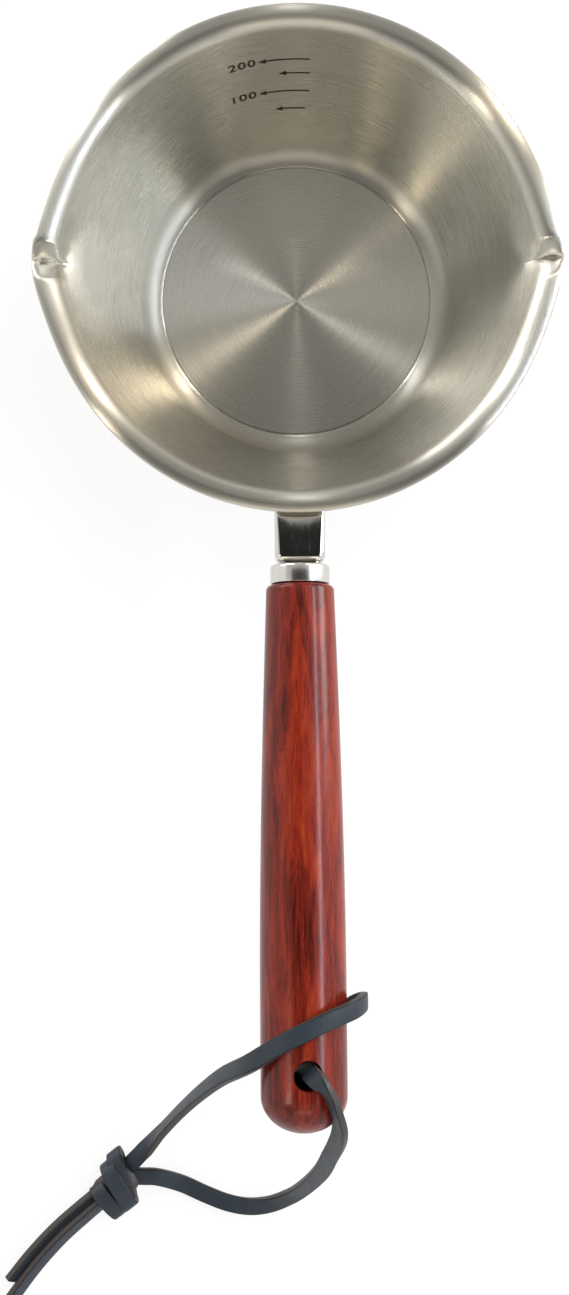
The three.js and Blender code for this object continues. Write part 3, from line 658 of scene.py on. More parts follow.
class StrapRoute:
    """Stops of the strap, each a point and the way its face looks, as the CAD route sets them."""

    STRAND_STOPS = (3.3, 0.3, -3)  # of a strand at the knot, in millimetres outside the knot's edge
    TAIL_SIDE = 1.38  # of a tail at the knot, in millimetres from the knot's middle line

    def __init__(self, scene):
        self.neck, self.handle, self.strap = scene.pan_neck, scene.pan_handle, scene.pan_strap
        self.frame = handle_frame(self.handle)
        self.hole_at = hole_from_front(self.neck, self.handle)
        hole = self.in_handle(0, self.hole_at, 0)
        self.hole_on_table = Vector((hole.x, hole.y, 0))
        self.top = self.in_handle(0, self.hole_at, self.handle.belly_radius).z
        to_knot = Vector((self.strap.knot_right, self.strap.knot_forward, self.strap.knot_height))
        self.knot = self.hole_on_table + to_knot
        self.knot_edge = self.strap.knot_half_length / MM

    def in_handle(self, x, along, z):
        return self.frame @ Vector((x, -along, z))

    def in_hole(self, share, face):
        """In the hanging hole, at a share of the wood's radius over its axis, leaning aside at its ends."""
        height, turn = share * self.handle.belly_radius, self.handle.hole_turn
        lean = self.strap.lean * min(max(2 * share, -1), 1)
        right = height * math.sin(turn) + lean * math.cos(self.strap.lean_turn)
        along = self.hole_at - lean * math.sin(self.strap.lean_turn)
        return self.in_handle(right, along, height * math.cos(turn)), Vector(face)

    def round_handle(self, turn, air, past, face=None):
        """Degrees from the handle's top towards +X, millimetres of air and of distance past the hole."""
        along = self.hole_at + past * MM
        room = self.strap.thickness / 2 + 2 * GAP + air * MM
        out = wood_radius(self.handle, along - shoulder_at(self.neck)) + room
        across, up = math.sin(math.radians(turn)), math.cos(math.radians(turn))
        return self.in_handle(out * across, along, out * up), Vector(face or (across, 0, up))

    def free(self, right, forward, share, face):
        """Millimetres right and forward of the hole, and a share of its height over the table."""
        height = self.strap.lying + share * (self.top - self.strap.lying)
        return self.hole_on_table + Vector((right * MM, forward * MM, height)), Vector(face)

    def turned(self, x, y, z):
        return Matrix.Rotation(self.strap.knot_turn, 3, "Z") @ Vector((x, y, z))

    def in_knot(self, x, y, z):
        """Millimetres from the knot's middle: towards the runs, to their left, and up."""
        return self.knot + self.turned(x * MM, y * MM, z * MM)

    def crossing(self, x, y, z, direction, face=(0, 0, 1)):
        """A strand at the knot's edge: stops from outside the knot to inside it."""
        out, look = self.turned(*direction).normalized(), self.turned(*face)
        return [(self.in_knot(x, y, z) + out * reach * MM, look) for reach in self.STRAND_STOPS]

    def end_run(self):
        """From the hole's top past the handle's end on edge, down, and round on the table to the knot."""
        return [
            self.in_hole(0.015, (-0.55, 0.84, 0)),
            self.in_hole(0.55, (-0.6, 0.8, 0)),
            self.in_hole(0.95, (-0.7, 0.6, 0.35)),
            self.round_handle(14, 2, 0.8, (-0.72, 0.1, 0.7)),
            self.round_handle(25.5, 1.8, 4, (-0.82, -0.25, 0.46)),
            self.round_handle(33, 1.5, 7.3, (-0.86, -0.42, 0.3)),
            self.round_handle(46, 1.4, 10.6, (-0.84, -0.44, 0.3)),
            self.free(7.8, -13.4, 0.91, (-0.78, -0.5, 0.36)),
            self.free(7.2, -17.6, 0.8, (-0.66, -0.6, 0.42)),
            self.free(6, -22.6, 0.66, (-0.48, -0.7, 0.5)),
            self.free(4.3, -29.4, 0.47, (-0.3, -0.74, 0.58)),
            self.free(1.1, -36.2, 0.28, (-0.16, -0.62, 0.76)),
            self.free(-3.1, -42, 0.12, (-0.06, -0.4, 0.9)),
            self.free(-8.8, -45.8, 0.03, (0, -0.15, 0.98)),
            self.free(-13.8, -46.8, 0, (0, 0.05, 1)),
            self.free(-18.9, -45.9, 0, (0, 0.2, 0.98)),
            self.free(-24.6, -43.7, 0, (0, 0.15, 0.99)),
            self.free(-31, -40.8, 0, (0, 0.05, 1)),
            *self.crossing(self.knot_edge, -2.5, -0.7, (0.76, -0.65, 0)),
        ]

    def over_run(self):
        """From the hole's bottom round the right side of the handle, over its top, and down to the knot."""
        return [
            self.in_hole(-0.015, (-0.55, 0.84, 0)),
            self.in_hole(-0.55, (-0.9, 0.4, 0)),
            self.in_hole(-0.95, (-0.85, -0.3, -0.35)),
            self.round_handle(171, 1, -2.4),
            self.round_handle(151, 0.7, -7.6),
            self.round_handle(122, 1.2, -13),
            self.round_handle(92, 2.4, -15.2),
            self.round_handle(60, 1.9, -14.3),
            self.round_handle(30, 0.4, -12.4),
            self.round_handle(3, 0, -10.1),
            self.round_handle(-24, 0, -7.4),
            self.free(-12, 3, 0.93, (-0.58, 0.27, 0.77)),
            self.free(-18.3, -2.3, 0.76, (-0.67, 0.42, 0.6)),
            self.free(-23.5, -8.3, 0.585, (-0.73, 0.5, 0.46)),
            self.free(-28.9, -15.4, 0.4, (-0.76, 0.55, 0.34)),
            self.free(-34.5, -23.3, 0.225, (-0.74, 0.56, 0.36)),
            self.free(-38.8, -29.3, 0.115, (-0.5, 0.4, 0.76)),
            *self.crossing(self.knot_edge, 2.1, 0.5, (0.98, 0.2, 0.5)),
        ]

    def tail(self, side, length, direction, face):
        """From inside the knot out over the table, nearly on edge."""
        low = (self.strap.tail_lying - self.strap.knot_height) / MM
        swing = self.strap.tail_swing / MM / self.strap.tail_a_length**2
        lain = []
        for share in (0.4, 0.7, 1):
            reach = length * share
            aside = side * (1 + self.strap.tail_spread * share) - swing * reach**2
            lain.append((self.in_knot(-self.knot_edge - reach / MM, aside, low), self.turned(*face)))
        return [*reversed(self.crossing(-self.knot_edge, side, -1.2, direction, face)), *lain]

    def wrap(self, along, lean, aside, half_width, half_height):
        """One turn of strap round the knot, in millimetres, leaning along it towards its left end."""
        start, sweep, steps = -100, 380, 26
        fullness = 0.85  # 1 is an ellipse, and less fills its corners
        stops = []
        for i in range(steps + 1):
            turn = math.radians(start + sweep * i / steps)
            across, up = math.cos(turn), math.sin(turn)
            wide = math.copysign(abs(across) ** fullness, across) * half_width
            high = math.copysign(abs(up) ** fullness, up) * half_height
            point = self.in_knot(along + lean * across, aside + wide, high)
            stops.append((point, self.turned(0, half_height * across, half_width * up)))
        return stops


# Finishes


def new_material(name):
    """A material with its node tree and its Principled shader."""
    material = bpy.data.materials.new(name)
    material.use_nodes = True
    return material, material.node_tree, material.node_tree.nodes["Principled BSDF"]


def feed(tree, node, inputs):
    """Gives each input of a node a value, a socket, or another node's first output that is in use."""
    for key, value in inputs.items():
        if isinstance(value, bpy.types.Node):
            value = next(socket for socket in value.outputs if socket.enabled)
        if isinstance(value, bpy.types.NodeSocket):
            tree.links.new(value, node.inputs[key])
        else:
            node.inputs[key].default_value = value


def add_node(tree, kind, inputs=None, stops=(), **settings):
    """Adds a node with its settings, its inputs and the (place, colour) stops of its ramp."""
    node = tree.nodes.new("ShaderNode" + kind)
    for name, value in settings.items():
        setattr(node, name, value)
    feed(tree, node, inputs or {})
    for i, (place, colour) in enumerate(stops):
        elements = node.color_ramp.elements
        element = elements[i] if i < len(elements) else elements.new(place)
        element.position, element.color = place, (*colour, 1)
    return node


def per_mm(size):
    """Noise scale for a pattern of that many millimetres."""
    return 1 / (size * MM)


def brushed_stainless(colours, bowl):
    """Stainless sheet, pressed and then brushed in circles: fine lines round the axis draw every light out
    into a spoke; the corner round the base is much duller and glows, and the lip is a little duller."""
    material, tree, shader = new_material("stainless_brushed_in_circles")
    place = add_node(tree, "TexCoord").outputs["Object"]
    axes = add_node(tree, "SeparateXYZ", {0: place})
    height = axes.outputs["Z"]
    level = add_node(tree, "CombineXYZ", {"X": axes.outputs["X"], "Y": axes.outputs["Y"]})
    radius = add_node(tree, "VectorMath", {0: level}, operation="LENGTH")
    heading = add_node(tree, "VectorMath", {0: level}, operation="NORMALIZE")
    way = add_node(tree, "SeparateXYZ", {0: heading})
    climb = add_node(tree, "Math", {0: radius, 1: height}, operation="ADD")
    # Real brush lines are about 0.1 mm apart: drawn at 0.25 mm, so that they show in the render
    lines = add_node(tree, "Math", {0: climb, 1: per_mm(0.25)}, operation="MULTIPLY")
    stroke_place = add_node(tree, "CombineXYZ", {"X": way.outputs["X"], "Y": way.outputs["Y"], "Z": lines})
    stroke = add_node(tree, "TexNoise", {
        "Vector": stroke_place, "Scale": 1.0, "Detail": 2.0, "Roughness": 0.5})
    cloud = add_node(tree, "TexNoise", {"Vector": place, "Scale": per_mm(22), "Detail": 2.0})
    tone = add_node(tree, "Mix", {
        0: stroke, 6: (*colours.steel_stroke, 1), 7: (*colours.steel, 1)}, data_type="RGBA")
    satin = add_node(tree, "MapRange", {
        "Value": stroke, "From Min": 0.3, "From Max": 0.7, "To Min": 0.255, "To Max": 0.285})
    handled = add_node(tree, "MapRange", {
        "Value": cloud, "From Min": 0.3, "From Max": 0.7, "To Min": -0.015, "To Max": 0.015})
    rough = add_node(tree, "Math", {0: satin, 1: handled}, operation="ADD")
    rolled = add_node(tree, "MapRange", {
        "Value": height, "From Min": bowl.height - 1.5 * bowl.lip_roll, "From Max": bowl.height,
        "To Min": 0.0, "To Max": 0.02}, interpolation_type="SMOOTHSTEP")
    pressed = add_node(tree, "MapRange", {
        "Value": radius, "From Min": bowl.base_radius, "From Max": bowl.base_radius + 2 * MM,
        "To Min": 0.0, "To Max": 0.1}, interpolation_type="SMOOTHSTEP")
    drawn = add_node(tree, "MapRange", {
        "Value": height, "From Min": 3 * MM, "From Max": 7 * MM, "To Min": 1.0, "To Max": 0.0},
        interpolation_type="SMOOTHSTEP")
    dull = add_node(tree, "Math", {0: pressed, 1: drawn, 2: rolled}, operation="MULTIPLY_ADD")
    finish = add_node(tree, "Math", {0: rough, 1: dull}, operation="ADD")
    relief = add_node(tree, "Bump", {"Strength": 0.008, "Distance": 0.01 * MM, "Height": stroke})
    round_axis = add_node(tree, "Tangent", direction_type="RADIAL", axis="Z")
    feed(tree, shader, {
        "Metallic": 1.0, "Anisotropic": 0.98, "Anisotropic Rotation": 0.25, "Base Color": tone,
        "Roughness": finish, "Normal": relief, "Tangent": round_axis})
    return material


def polished_stainless(name, colours, blur):
    """Stainless sheet, pressed and buffed: it shows the room, sharply or softly, with faint wipe marks and
    hairline scratches along the handle."""
    material, tree, shader = new_material(name)
    place = add_node(tree, "TexCoord").outputs["Object"]
    along = add_node(tree, "Mapping", {"Vector": place, "Scale": (per_mm(0.35), per_mm(9), per_mm(0.35))})
    scratch = add_node(tree, "TexNoise", {"Vector": along, "Scale": 1.0, "Detail": 2.0, "Roughness": 0.6})
    wipe = add_node(tree, "TexNoise", {"Vector": place, "Scale": per_mm(5), "Detail": 3.0})
    hairline = add_node(tree, "MapRange", {
        "Value": scratch, "From Min": 0.6, "From Max": 0.75, "To Min": blur, "To Max": blur + 0.08})
    haze = add_node(tree, "MapRange", {
        "Value": wipe, "From Min": 0.4, "From Max": 0.75, "To Min": 0.0, "To Max": 0.03})
    rough = add_node(tree, "Math", {0: hairline, 1: haze}, operation="ADD")
    relief = add_node(tree, "Bump", {"Strength": 0.05, "Distance": 0.01 * MM, "Height": scratch})
    feed(tree, shader, {
        "Metallic": 1.0, "Base Color": (*colours.polished, 1), "Roughness": rough, "Normal": relief})
    return material


def zinc_plate(colours):
    """Zinc-plated steel: a dull bluish grey with faint yellow clouds from the passivating bath."""
    material, tree, shader = new_material("steel_zinc_plated")
    place = add_node(tree, "TexCoord").outputs["Object"]
    cloud = add_node(tree, "TexNoise", {"Vector": place, "Scale": per_mm(2), "Detail": 3.0})
    grain = add_node(tree, "TexNoise", {"Vector": place, "Scale": per_mm(0.2), "Detail": 2.0})
    tone = add_node(tree, "Mix", {
        0: cloud, 6: (*colours.zinc, 1), 7: (*colours.zinc_stain, 1)}, data_type="RGBA")
    rough = add_node(tree, "MapRange", {"Value": grain, "To Min": 0.28, "To Max": 0.55})
    feed(tree, shader, {"Metallic": 1.0, "Base Color": tone, "Roughness": rough})
    return material


def etched_oxide(colours):
    """Electro-etched steel: a matt brown-black oxide in the surface, a little paler where it is worn."""
    material, tree, shader = new_material("stainless_etched_oxide")
    place = add_node(tree, "TexCoord").outputs["Object"]
    wear = add_node(tree, "TexNoise", {"Vector": place, "Scale": per_mm(0.6), "Detail": 3.0})
    tone = add_node(tree, "ValToRGB", {"Fac": wear}, stops=[(0.45, colours.etch), (0.75, colours.etch_worn)])
    feed(tree, shader, {"Specular IOR Level": 0.2, "Roughness": 0.7, "Base Color": tone})
    return material


def lacquered_rosewood(colours, handle, hole_at):
    """Red rosewood, turned and clear lacquered: long dark and orange streaks with fine open pores lie under a
    smooth gloss that shows the lights as pale bands; the hole's bare wall has painted shade, nearly black."""
    material, tree, shader = new_material("rosewood_turned_and_lacquered")
    in_handle = add_node(tree, "Mapping", {
        "Vector": add_node(tree, "TexCoord").outputs["Object"],
        "Location": (0, -handle.ferrule_front, handle.axis_height),
        "Rotation": (-handle.tilt, 0, 0)}, vector_type="TEXTURE")
    figure_place = add_node(tree, "Mapping", {
        "Vector": in_handle, "Scale": (per_mm(6), per_mm(38), per_mm(6))})
    figure = add_node(tree, "TexNoise", {
        "Vector": figure_place, "Scale": 1.0, "Detail": 4.0, "Roughness": 0.6, "Distortion": 1.4})
    streak_place = add_node(tree, "Mapping", {
        "Vector": in_handle, "Scale": (per_mm(0.9), per_mm(13), per_mm(0.9))})
    streak = add_node(tree, "TexNoise", {
        "Vector": streak_place, "Scale": 1.0, "Detail": 3.0, "Roughness": 0.6, "Distortion": 0.8})
    speck_place = add_node(tree, "Mapping", {
        "Vector": in_handle, "Scale": (per_mm(0.35), per_mm(2.6), per_mm(0.35))})
    speck = add_node(tree, "TexNoise", {"Vector": speck_place, "Scale": 1.0, "Detail": 1.0})
    pore = add_node(tree, "MapRange", {
        "Value": speck, "From Min": 0.6, "From Max": 0.72, "To Min": 0.0, "To Max": 0.55})
    grain = add_node(tree, "Mix", {0: 0.4, 2: figure, 3: streak}, data_type="FLOAT")
    tone = add_node(tree, "ValToRGB", {"Fac": grain}, stops=[
        (0.35, colours.wood_dark), (0.52, colours.wood), (0.72, colours.wood_bright)])
    on_vein = add_node(tree, "Math", {0: figure, 1: 0.46, 2: 0.012}, operation="COMPARE")
    vein = add_node(tree, "Math", {0: on_vein, 1: 0.4}, operation="MULTIPLY")
    mark = add_node(tree, "Math", {0: pore, 1: vein}, operation="MAXIMUM")
    pored = add_node(tree, "Mix", {0: mark, 6: tone, 7: (*colours.wood_dark, 1)}, data_type="RGBA")
    rough = add_node(tree, "MapRange", {"Value": streak, "To Min": 0.3, "To Max": 0.5})
    relief = add_node(tree, "Bump", {"Strength": 0.25, "Distance": 0.03 * MM, "Height": pore}, invert=True)
    in_hole = add_node(tree, "Mapping", {
        "Vector": in_handle, "Location": (0, -hole_at, 0), "Rotation": (0, handle.hole_turn, 0)},
        vector_type="TEXTURE")
    axes = add_node(tree, "SeparateXYZ", {0: in_hole})
    level = add_node(tree, "CombineXYZ", {"X": axes.outputs["X"], "Y": axes.outputs["Y"]})
    off_axis = add_node(tree, "VectorMath", {0: level}, operation="LENGTH")
    lacquer = add_node(tree, "MapRange", {
        "Value": off_axis, "From Min": handle.hole_radius, "From Max": handle.hole_radius + 0.3 * MM},
        interpolation_type="SMOOTHSTEP")
    # Inside the hole the colour is painted nearly black: painted shade on the bare wall.
    tone_with_hole_shade = add_node(tree, "Mix", {0: lacquer, 6: (*colours.bare_wood_and_hole_shade, 1), 7: pored}, data_type="RGBA")
    coat = add_node(tree, "Math", {0: lacquer, 1: 0.5}, operation="MULTIPLY")
    gleam = add_node(tree, "Math", {0: lacquer, 1: 0.06}, operation="MULTIPLY")
    feed(tree, shader, {
        "Base Color": tone_with_hole_shade, "Roughness": rough, "Normal": relief, "Specular IOR Level": gleam,
        "Coat Weight": coat, "Coat Roughness": 0.2, "Coat IOR": 1.5, "Coat Normal": relief})
    return material


def dyed_leather(colours):
    """Vegetable-tanned leather lace, cut flat and dyed: slate faces with a fine pebbled grain, near-black
    rounded corners, and grey-brown cut edges where the dye took less."""
    material, tree, shader = new_material("leather_lace_dyed")
    place = add_node(tree, "TexCoord")
    edge = add_node(tree, "Attribute", attribute_name="cut_edge").outputs["Fac"]
    pebble = add_node(tree, "TexVoronoi", {"Vector": place.outputs["Object"], "Scale": per_mm(0.55)})
    fibre_place = add_node(tree, "Mapping", {
        "Vector": place.outputs["UV"], "Scale": (per_mm(6), per_mm(0.5), 1)})
    fibre = add_node(tree, "TexNoise", {"Vector": fibre_place, "Scale": 1.0, "Detail": 3.0})
    shade = add_node(tree, "TexNoise", {"Vector": place.outputs["Object"], "Scale": per_mm(7), "Detail": 3.0})
    dye = add_node(tree, "Math", {0: shade, 1: 0.2, 2: edge}, operation="MULTIPLY_ADD")
    # The ramp makes the rounded corners between face and cut edge near-black.
    tone = add_node(tree, "ValToRGB", {"Fac": dye}, stops=[
        (0.08, colours.leather), (0.35, colours.leather_corner), (0.75, colours.leather_corner),
        (1.0, colours.leather_edge)])
    rough = add_node(tree, "MapRange", {"Value": fibre, "To Min": 0.38, "To Max": 0.62})
    height = add_node(tree, "Math", {0: fibre, 1: 0.6, 2: pebble}, operation="MULTIPLY_ADD")
    relief = add_node(tree, "Bump", {"Strength": 0.35, "Distance": 0.06 * MM, "Height": height})
    feed(tree, shader, {"Specular IOR Level": 0.4, "Base Color": tone, "Roughness": rough, "Normal": relief})
    return material


def background_share(tree):
    """1 for rays that see the background, from the camera, off gloss or through glass; 0 for its light."""
    rays = add_node(tree, "LightPath").outputs
    seen = add_node(tree, "Math", {0: rays["Is Camera Ray"], 1: rays["Is Glossy Ray"]}, operation="MAXIMUM")
    return add_node(tree, "Math", {0: seen, 1: rays["Is Transmission Ray"]}, operation="MAXIMUM")


def white_paper(colours):
    """Matt white paper sweep: pale all over, with a light shadow under the pan."""
    material, tree, shader = new_material("paper_matt_white")
    place = add_node(tree, "TexCoord").outputs["Object"]
    fibre = add_node(tree, "TexNoise", {"Vector": place, "Scale": per_mm(3), "Detail": 3.0})
    rough = add_node(tree, "MapRange", {"Value": fibre, "To Min": 0.8, "To Max": 0.95})
    feed(tree, shader, {"Base Color": (*colours.floor, 1), "Specular IOR Level": 0.1, "Roughness": rough})
    glow = add_node(tree, "Emission", {"Color": (1, 1, 1, 1), "Strength": 1.0})
    share = add_node(tree, "Math", {0: background_share(tree), 1: 0.85}, operation="MULTIPLY")
    mixed = add_node(tree, "MixShader", {0: share, 1: shader, 2: glow})
    feed(tree, tree.nodes["Material Output"], {"Surface": mixed})
    return material


def matt_card(name, colour):
    """Matt card that shows one plain tone to the steel and the lacquer, and lights nothing."""
    material, tree, _ = new_material(name)
    glow = add_node(tree, "Emission", {"Color": (*colour, 1), "Strength": 1.0})
    feed(tree, tree.nodes["Material Output"], {"Surface": glow})
    return material


# Operators


class PAN_OT_set_stage(bpy.types.Operator):
    """Set up the camera over the table, the pale floor, the softboxes and the white background"""

    bl_idname = "pan.set_stage"
    bl_label = "Set Stage"

    aim = Vector((0, -0.06, 0.03))  # where the lights look: between bowl and handle
    warm, cool = "#fff0dc", "#e6f0ff"

    def execute(self, context):
        stage, colours = context.scene.pan_stage, context.scene.pan_colours
        self.place_camera(context.scene, stage)
        self.lay_floor(colours)
        self.hang_card("pale_ceiling_card", (0, 0, 0.95), (2.6, 2.6), colours.ceiling)
        self.hang_card("dark_handle_card", (0, -0.112, 0.5), (0.6, 0.335), colours.card)
        self.hang_card("dark_far_card", (0, 1.05, 0.94), (1.1, 0.6), colours.card)
        self.hang_light("key_softbox", (0.35, 0.3, 1.0), (0.6, 0.6), stage.key_power, mirrored=False)
        self.hang_light("warm_strip", (0.53, 0.6, 0.85), (0.09, 0.45), stage.warm_power, self.warm)
        self.hang_light("thin_strip", (-0.53, 0.6, 0.85), (0.03, 0.45), stage.thin_power)
        self.hang_light("near_warm_strip", (-0.71, -0.36, 0.85), (0.07, 0.3), stage.near_power, self.warm)
        self.hang_light("near_thin_strip", (0.71, -0.36, 0.85), (0.03, 0.3), stage.near_power / 2)
        self.hang_light("far_strip", (0, 0.8, 0.85), (0.04, 0.3), stage.far_power)
        self.hang_light("near_softbox", (0, -0.85, 0.8), (0.7, 0.25), stage.near_power, self.warm)
        self.hang_light("side_strip", (0.85, 0, 0.8), (0.9, 0.12), stage.side_power, self.cool)
        self.hang_light("low_far_softbox", (-0.85, 0.8, 0.35), (1.0, 0.4), stage.low_power)
        self.hang_light("low_side_softbox", (1.1, 0.3, 0.3), (0.6, 0.4), stage.low_power)
        self.light_room(context.scene, stage)
        context.scene.view_settings.view_transform = "Standard"
        return {"FINISHED"}

    def place_camera(self, scene, stage):
        place = (stage.camera_right, stage.camera_forward, stage.camera_height)
        camera = add_new("photo_camera", bpy.ops.object.camera_add, location=place)
        camera.rotation_euler = (0, 0, stage.camera_turn)
        camera.data.sensor_width = 36
        camera.data.lens = stage.lens
        camera.data.clip_start = 10 * MM
        scene.camera = camera

    def lay_floor(self, colours):
        floor = add_new("floor", bpy.ops.mesh.primitive_plane_add, size=8, location=(0, 0, -0.2 * MM))
        floor.data.materials.append(white_paper(colours))

    def hang_card(self, name, place, size, colour):
        """A level card that only mirrors show."""
        card = add_new(name, bpy.ops.mesh.primitive_plane_add, size=1, location=place)
        card.scale = (*size, 1)
        card.data.materials.append(matt_card(name + "_matt", colour))
        card.visible_camera = card.visible_diffuse = card.visible_shadow = False

    def hang_light(self, name, place, size, power, colour="#ffffff", mirrored=True):
        """A softbox or strip light that looks at the pan, and that mirrors may show."""
        turn = (self.aim - Vector(place)).to_track_quat("-Z", "Y").to_euler()
        light = add_new(name, bpy.ops.object.light_add, type="AREA", location=place, rotation=turn)
        light.data.shape = "RECTANGLE"
        light.data.size, light.data.size_y = size
        light.data.energy = power
        light.data.color = linear(colour)
        light.visible_camera = False
        light.visible_glossy = mirrored

    def light_room(self, scene, stage):
        """Soft light from all round, with white where the background shows."""
        scene.world = scene.world or bpy.data.worlds.new("studio")
        scene.world.use_nodes = True
        tree = scene.world.node_tree
        tree.nodes.clear()
        strength = add_node(tree, "MapRange", {
            "Value": background_share(tree), "To Min": stage.room_light, "To Max": 1.0})
        background = add_node(tree, "Background", {"Color": (1, 1, 1, 1), "Strength": strength})
        add_node(tree, "OutputWorld", {"Surface": background}, is_active_output=True)


class PAN_OT_make_strap(bpy.types.Operator):
    """Make the leather strap: its two runs, its knot and its two tails"""

    bl_idname = "pan.make_strap"
    bl_label = "Make Strap"

    def execute(self, context):
        strap = context.scene.pan_strap
        route = StrapRoute(context.scene)
        leather = dyed_leather(context.scene.pan_colours)
        knot = self.tie_knot(route, strap, leather)
        side = route.TAIL_SIDE
        tail_a = route.tail(side, strap.tail_a_length, (-1, -0.03, -0.05), (0, -0.84, 0.54))
        tail_b = route.tail(-side, strap.tail_b_length, (-1, -0.05, -0.05), (0, -0.8, 0.6))
        runs = {
            "leather_end_run": (route.end_run(), "strap_end_run", "knot", [knot]),
            "leather_over_run": (route.over_run(), "strap_over_run", "knot", []),
            "leather_tail_a": (tail_a, "strap_tail_a", "bare", []),
            "leather_tail_b": (tail_b, "strap_tail_b", "bare", []),
        }
        for name, (stops, node, far_end, with_pieces) in runs.items():
            line = smooth_line(stops, strap.ring_space)
            piece = sweep_strap(name, [line], strap)
            finish_piece(piece, leather, "dark_leather", node, crease=60)
        return {"FINISHED"}

    def tie_knot(self, route, strap, leather):
        """Three turns of strap round an oval heart, which fills the knot."""
        wraps = [
            route.wrap(1.2, 0.9, -0.2, 5.8, 3.05),
            route.wrap(2.9, 2.2, 0.9, 5.8, 2.3),
            route.wrap(-3.3, -0.3, -1.6, 4.3, 2.2),
        ]
        turns = sweep_strap("leather_knot", [smooth_line(stops, strap.ring_space) for stops in wraps], strap)
        half = [(0.2, -6), (3.2, -5.4), (4.2, -3), (4.4, 0)]
        whole = [*half, *[(radius, -along) for radius, along in reversed(half[:-1])]]
        section = [(radius * MM, along * MM) for radius, along in whole]
        heart = turn_on_lathe("knot_heart", section, KNOT_SIDES)
        flat = Matrix.Diagonal((1, 0.45, 1, 1))
        place = Matrix.Translation(route.knot) @ Matrix.Rotation(strap.knot_turn, 4, "Z")
        lying = Matrix(((0, 0, 1, 0), (1, 0, 0, 0), (0, 1, 0, 0), (0, 0, 0, 1)))
        heart.data.transform(place @ lying @ flat)
        inside = heart.data.attributes.new("cut_edge", "FLOAT", "POINT")
        inside.data.foreach_set("value", np.ones(len(heart.data.vertices), np.float32))
        heart.data.uv_layers.new(name="along_strap")
        knot = join_pieces("leather_knot", [turns, heart])
        finish_piece(knot, leather, "dark_leather", "strap_knot", crease=60)
        return knot


class PAN_OT_make_bowl(bpy.types.Operator):
    """Make the pressed bowl with its rolled lip and two spouts"""

    bl_idname = "pan.make_bowl"
    bl_label = "Make Bowl"

    def execute(self, context):
        bowl = context.scene.pan_bowl
        piece = turn_on_lathe("pressed_bowl", bowl_section(bowl), BOWL_SIDES)
        form_spouts(piece.data, bowl)
        finish_piece(piece, brushed_stainless(context.scene.pan_colours, bowl), "brushed_steel_bowl", "bowl")
        return {"FINISHED"}


class PAN_OT_etch_marks(bpy.types.Operator):
    """Etch the capacity lines, their arrowheads and their numbers on the wall"""

    bl_idname = "pan.etch_marks"
    bl_label = "Etch Marks"

    def execute(self, context):
        bowl, marks = context.scene.pan_bowl, context.scene.pan_marks
        number_space = 1.3
        pieces = []
        # Height, the arrow's tip and the line's end in millimetres to the right of the middle, and the number
        for height, tip, end, number in (
            (marks.upper_height, -8.2, 3.3, "200"),
            (marks.upper_half_height, -3.4, 3.3, ""),
            (marks.lower_height, -8.2, 3.2, "100"),
            (marks.lower_half_height, -4.3, 2.3, ""),
        ):
            line = self.line(tip * MM, end * MM, marks.line_width)
            flat = [line, self.arrowhead(tip * MM, marks.line_width)]
            if number:
                flat.append(self.digits(number, (tip - number_space) * MM, marks.digit_height))
            for piece in flat:
                self.lay_on_wall(piece.data, bowl, height)
            pieces += flat
        piece = join_pieces("capacity_marks", pieces)
        thicken(piece, marks.film, offset=0)
        finish_piece(piece, etched_oxide(context.scene.pan_colours), "brushed_steel_bowl")
        return {"FINISHED"}

    def line(self, start, end, width):
        line = add_new("mark_line", bpy.ops.mesh.primitive_plane_add, size=1)
        edit_all()
        bpy.ops.transform.resize(value=(end - start, width, 1), center_override=(0, 0, 0))
        bpy.ops.transform.translate(value=((start + end) / 2, 0, 0))
        bpy.ops.mesh.subdivide(number_cuts=9)
        bpy.ops.object.mode_set(mode="OBJECT")
        return line

    def arrowhead(self, tip, width):
        """A slim triangle, five line widths across its circle."""
        head = add_new(
            "mark_arrowhead", bpy.ops.mesh.primitive_circle_add, vertices=3, radius=2.5 * width,
            fill_type="NGON")
        edit_all()
        bpy.ops.transform.rotate(value=-QUARTER, orient_axis="Z", center_override=(0, 0, 0))
        bpy.ops.transform.resize(value=(1, 0.8, 1), center_override=(0, 0, 0))
        bpy.ops.transform.translate(value=(tip + width, 0, 0))
        bpy.ops.mesh.subdivide(number_cuts=1)
        bpy.ops.object.mode_set(mode="OBJECT")
        return head

    def digits(self, number, end, height):
        """Wide, slightly bold digits that end at a place."""
        font_size, widening, boldness = 1.35 * height, 1.15, 0.025 * height
        text = add_new("mark_digits", bpy.ops.object.text_add)
        text.data.body = number
        text.data.align_x = "RIGHT"
        text.data.align_y = "CENTER"
        text.data.size = font_size
        text.data.space_character = widening
        text.data.offset = boldness
        bpy.ops.object.convert(target="MESH")
        text = bpy.context.object
        text.data.transform(Matrix.Translation((end, 0, 0)) @ Matrix.Diagonal((widening, 1, 1, 1)))
        return text

    def lay_on_wall(self, mesh, bowl, height):
        """Bends a flat mesh round the wall, with its x axis at a height."""
        slope = wall_line(bowl)[2]
        for vertex in mesh.vertices:
            z = height + vertex.co.y * math.sin(slope)
            radius = wall_radius(bowl, z, 0)
            angle = vertex.co.x / wall_radius(bowl, height, 0)
            vertex.co = (radius * math.sin(angle), radius * math.cos(angle), z)


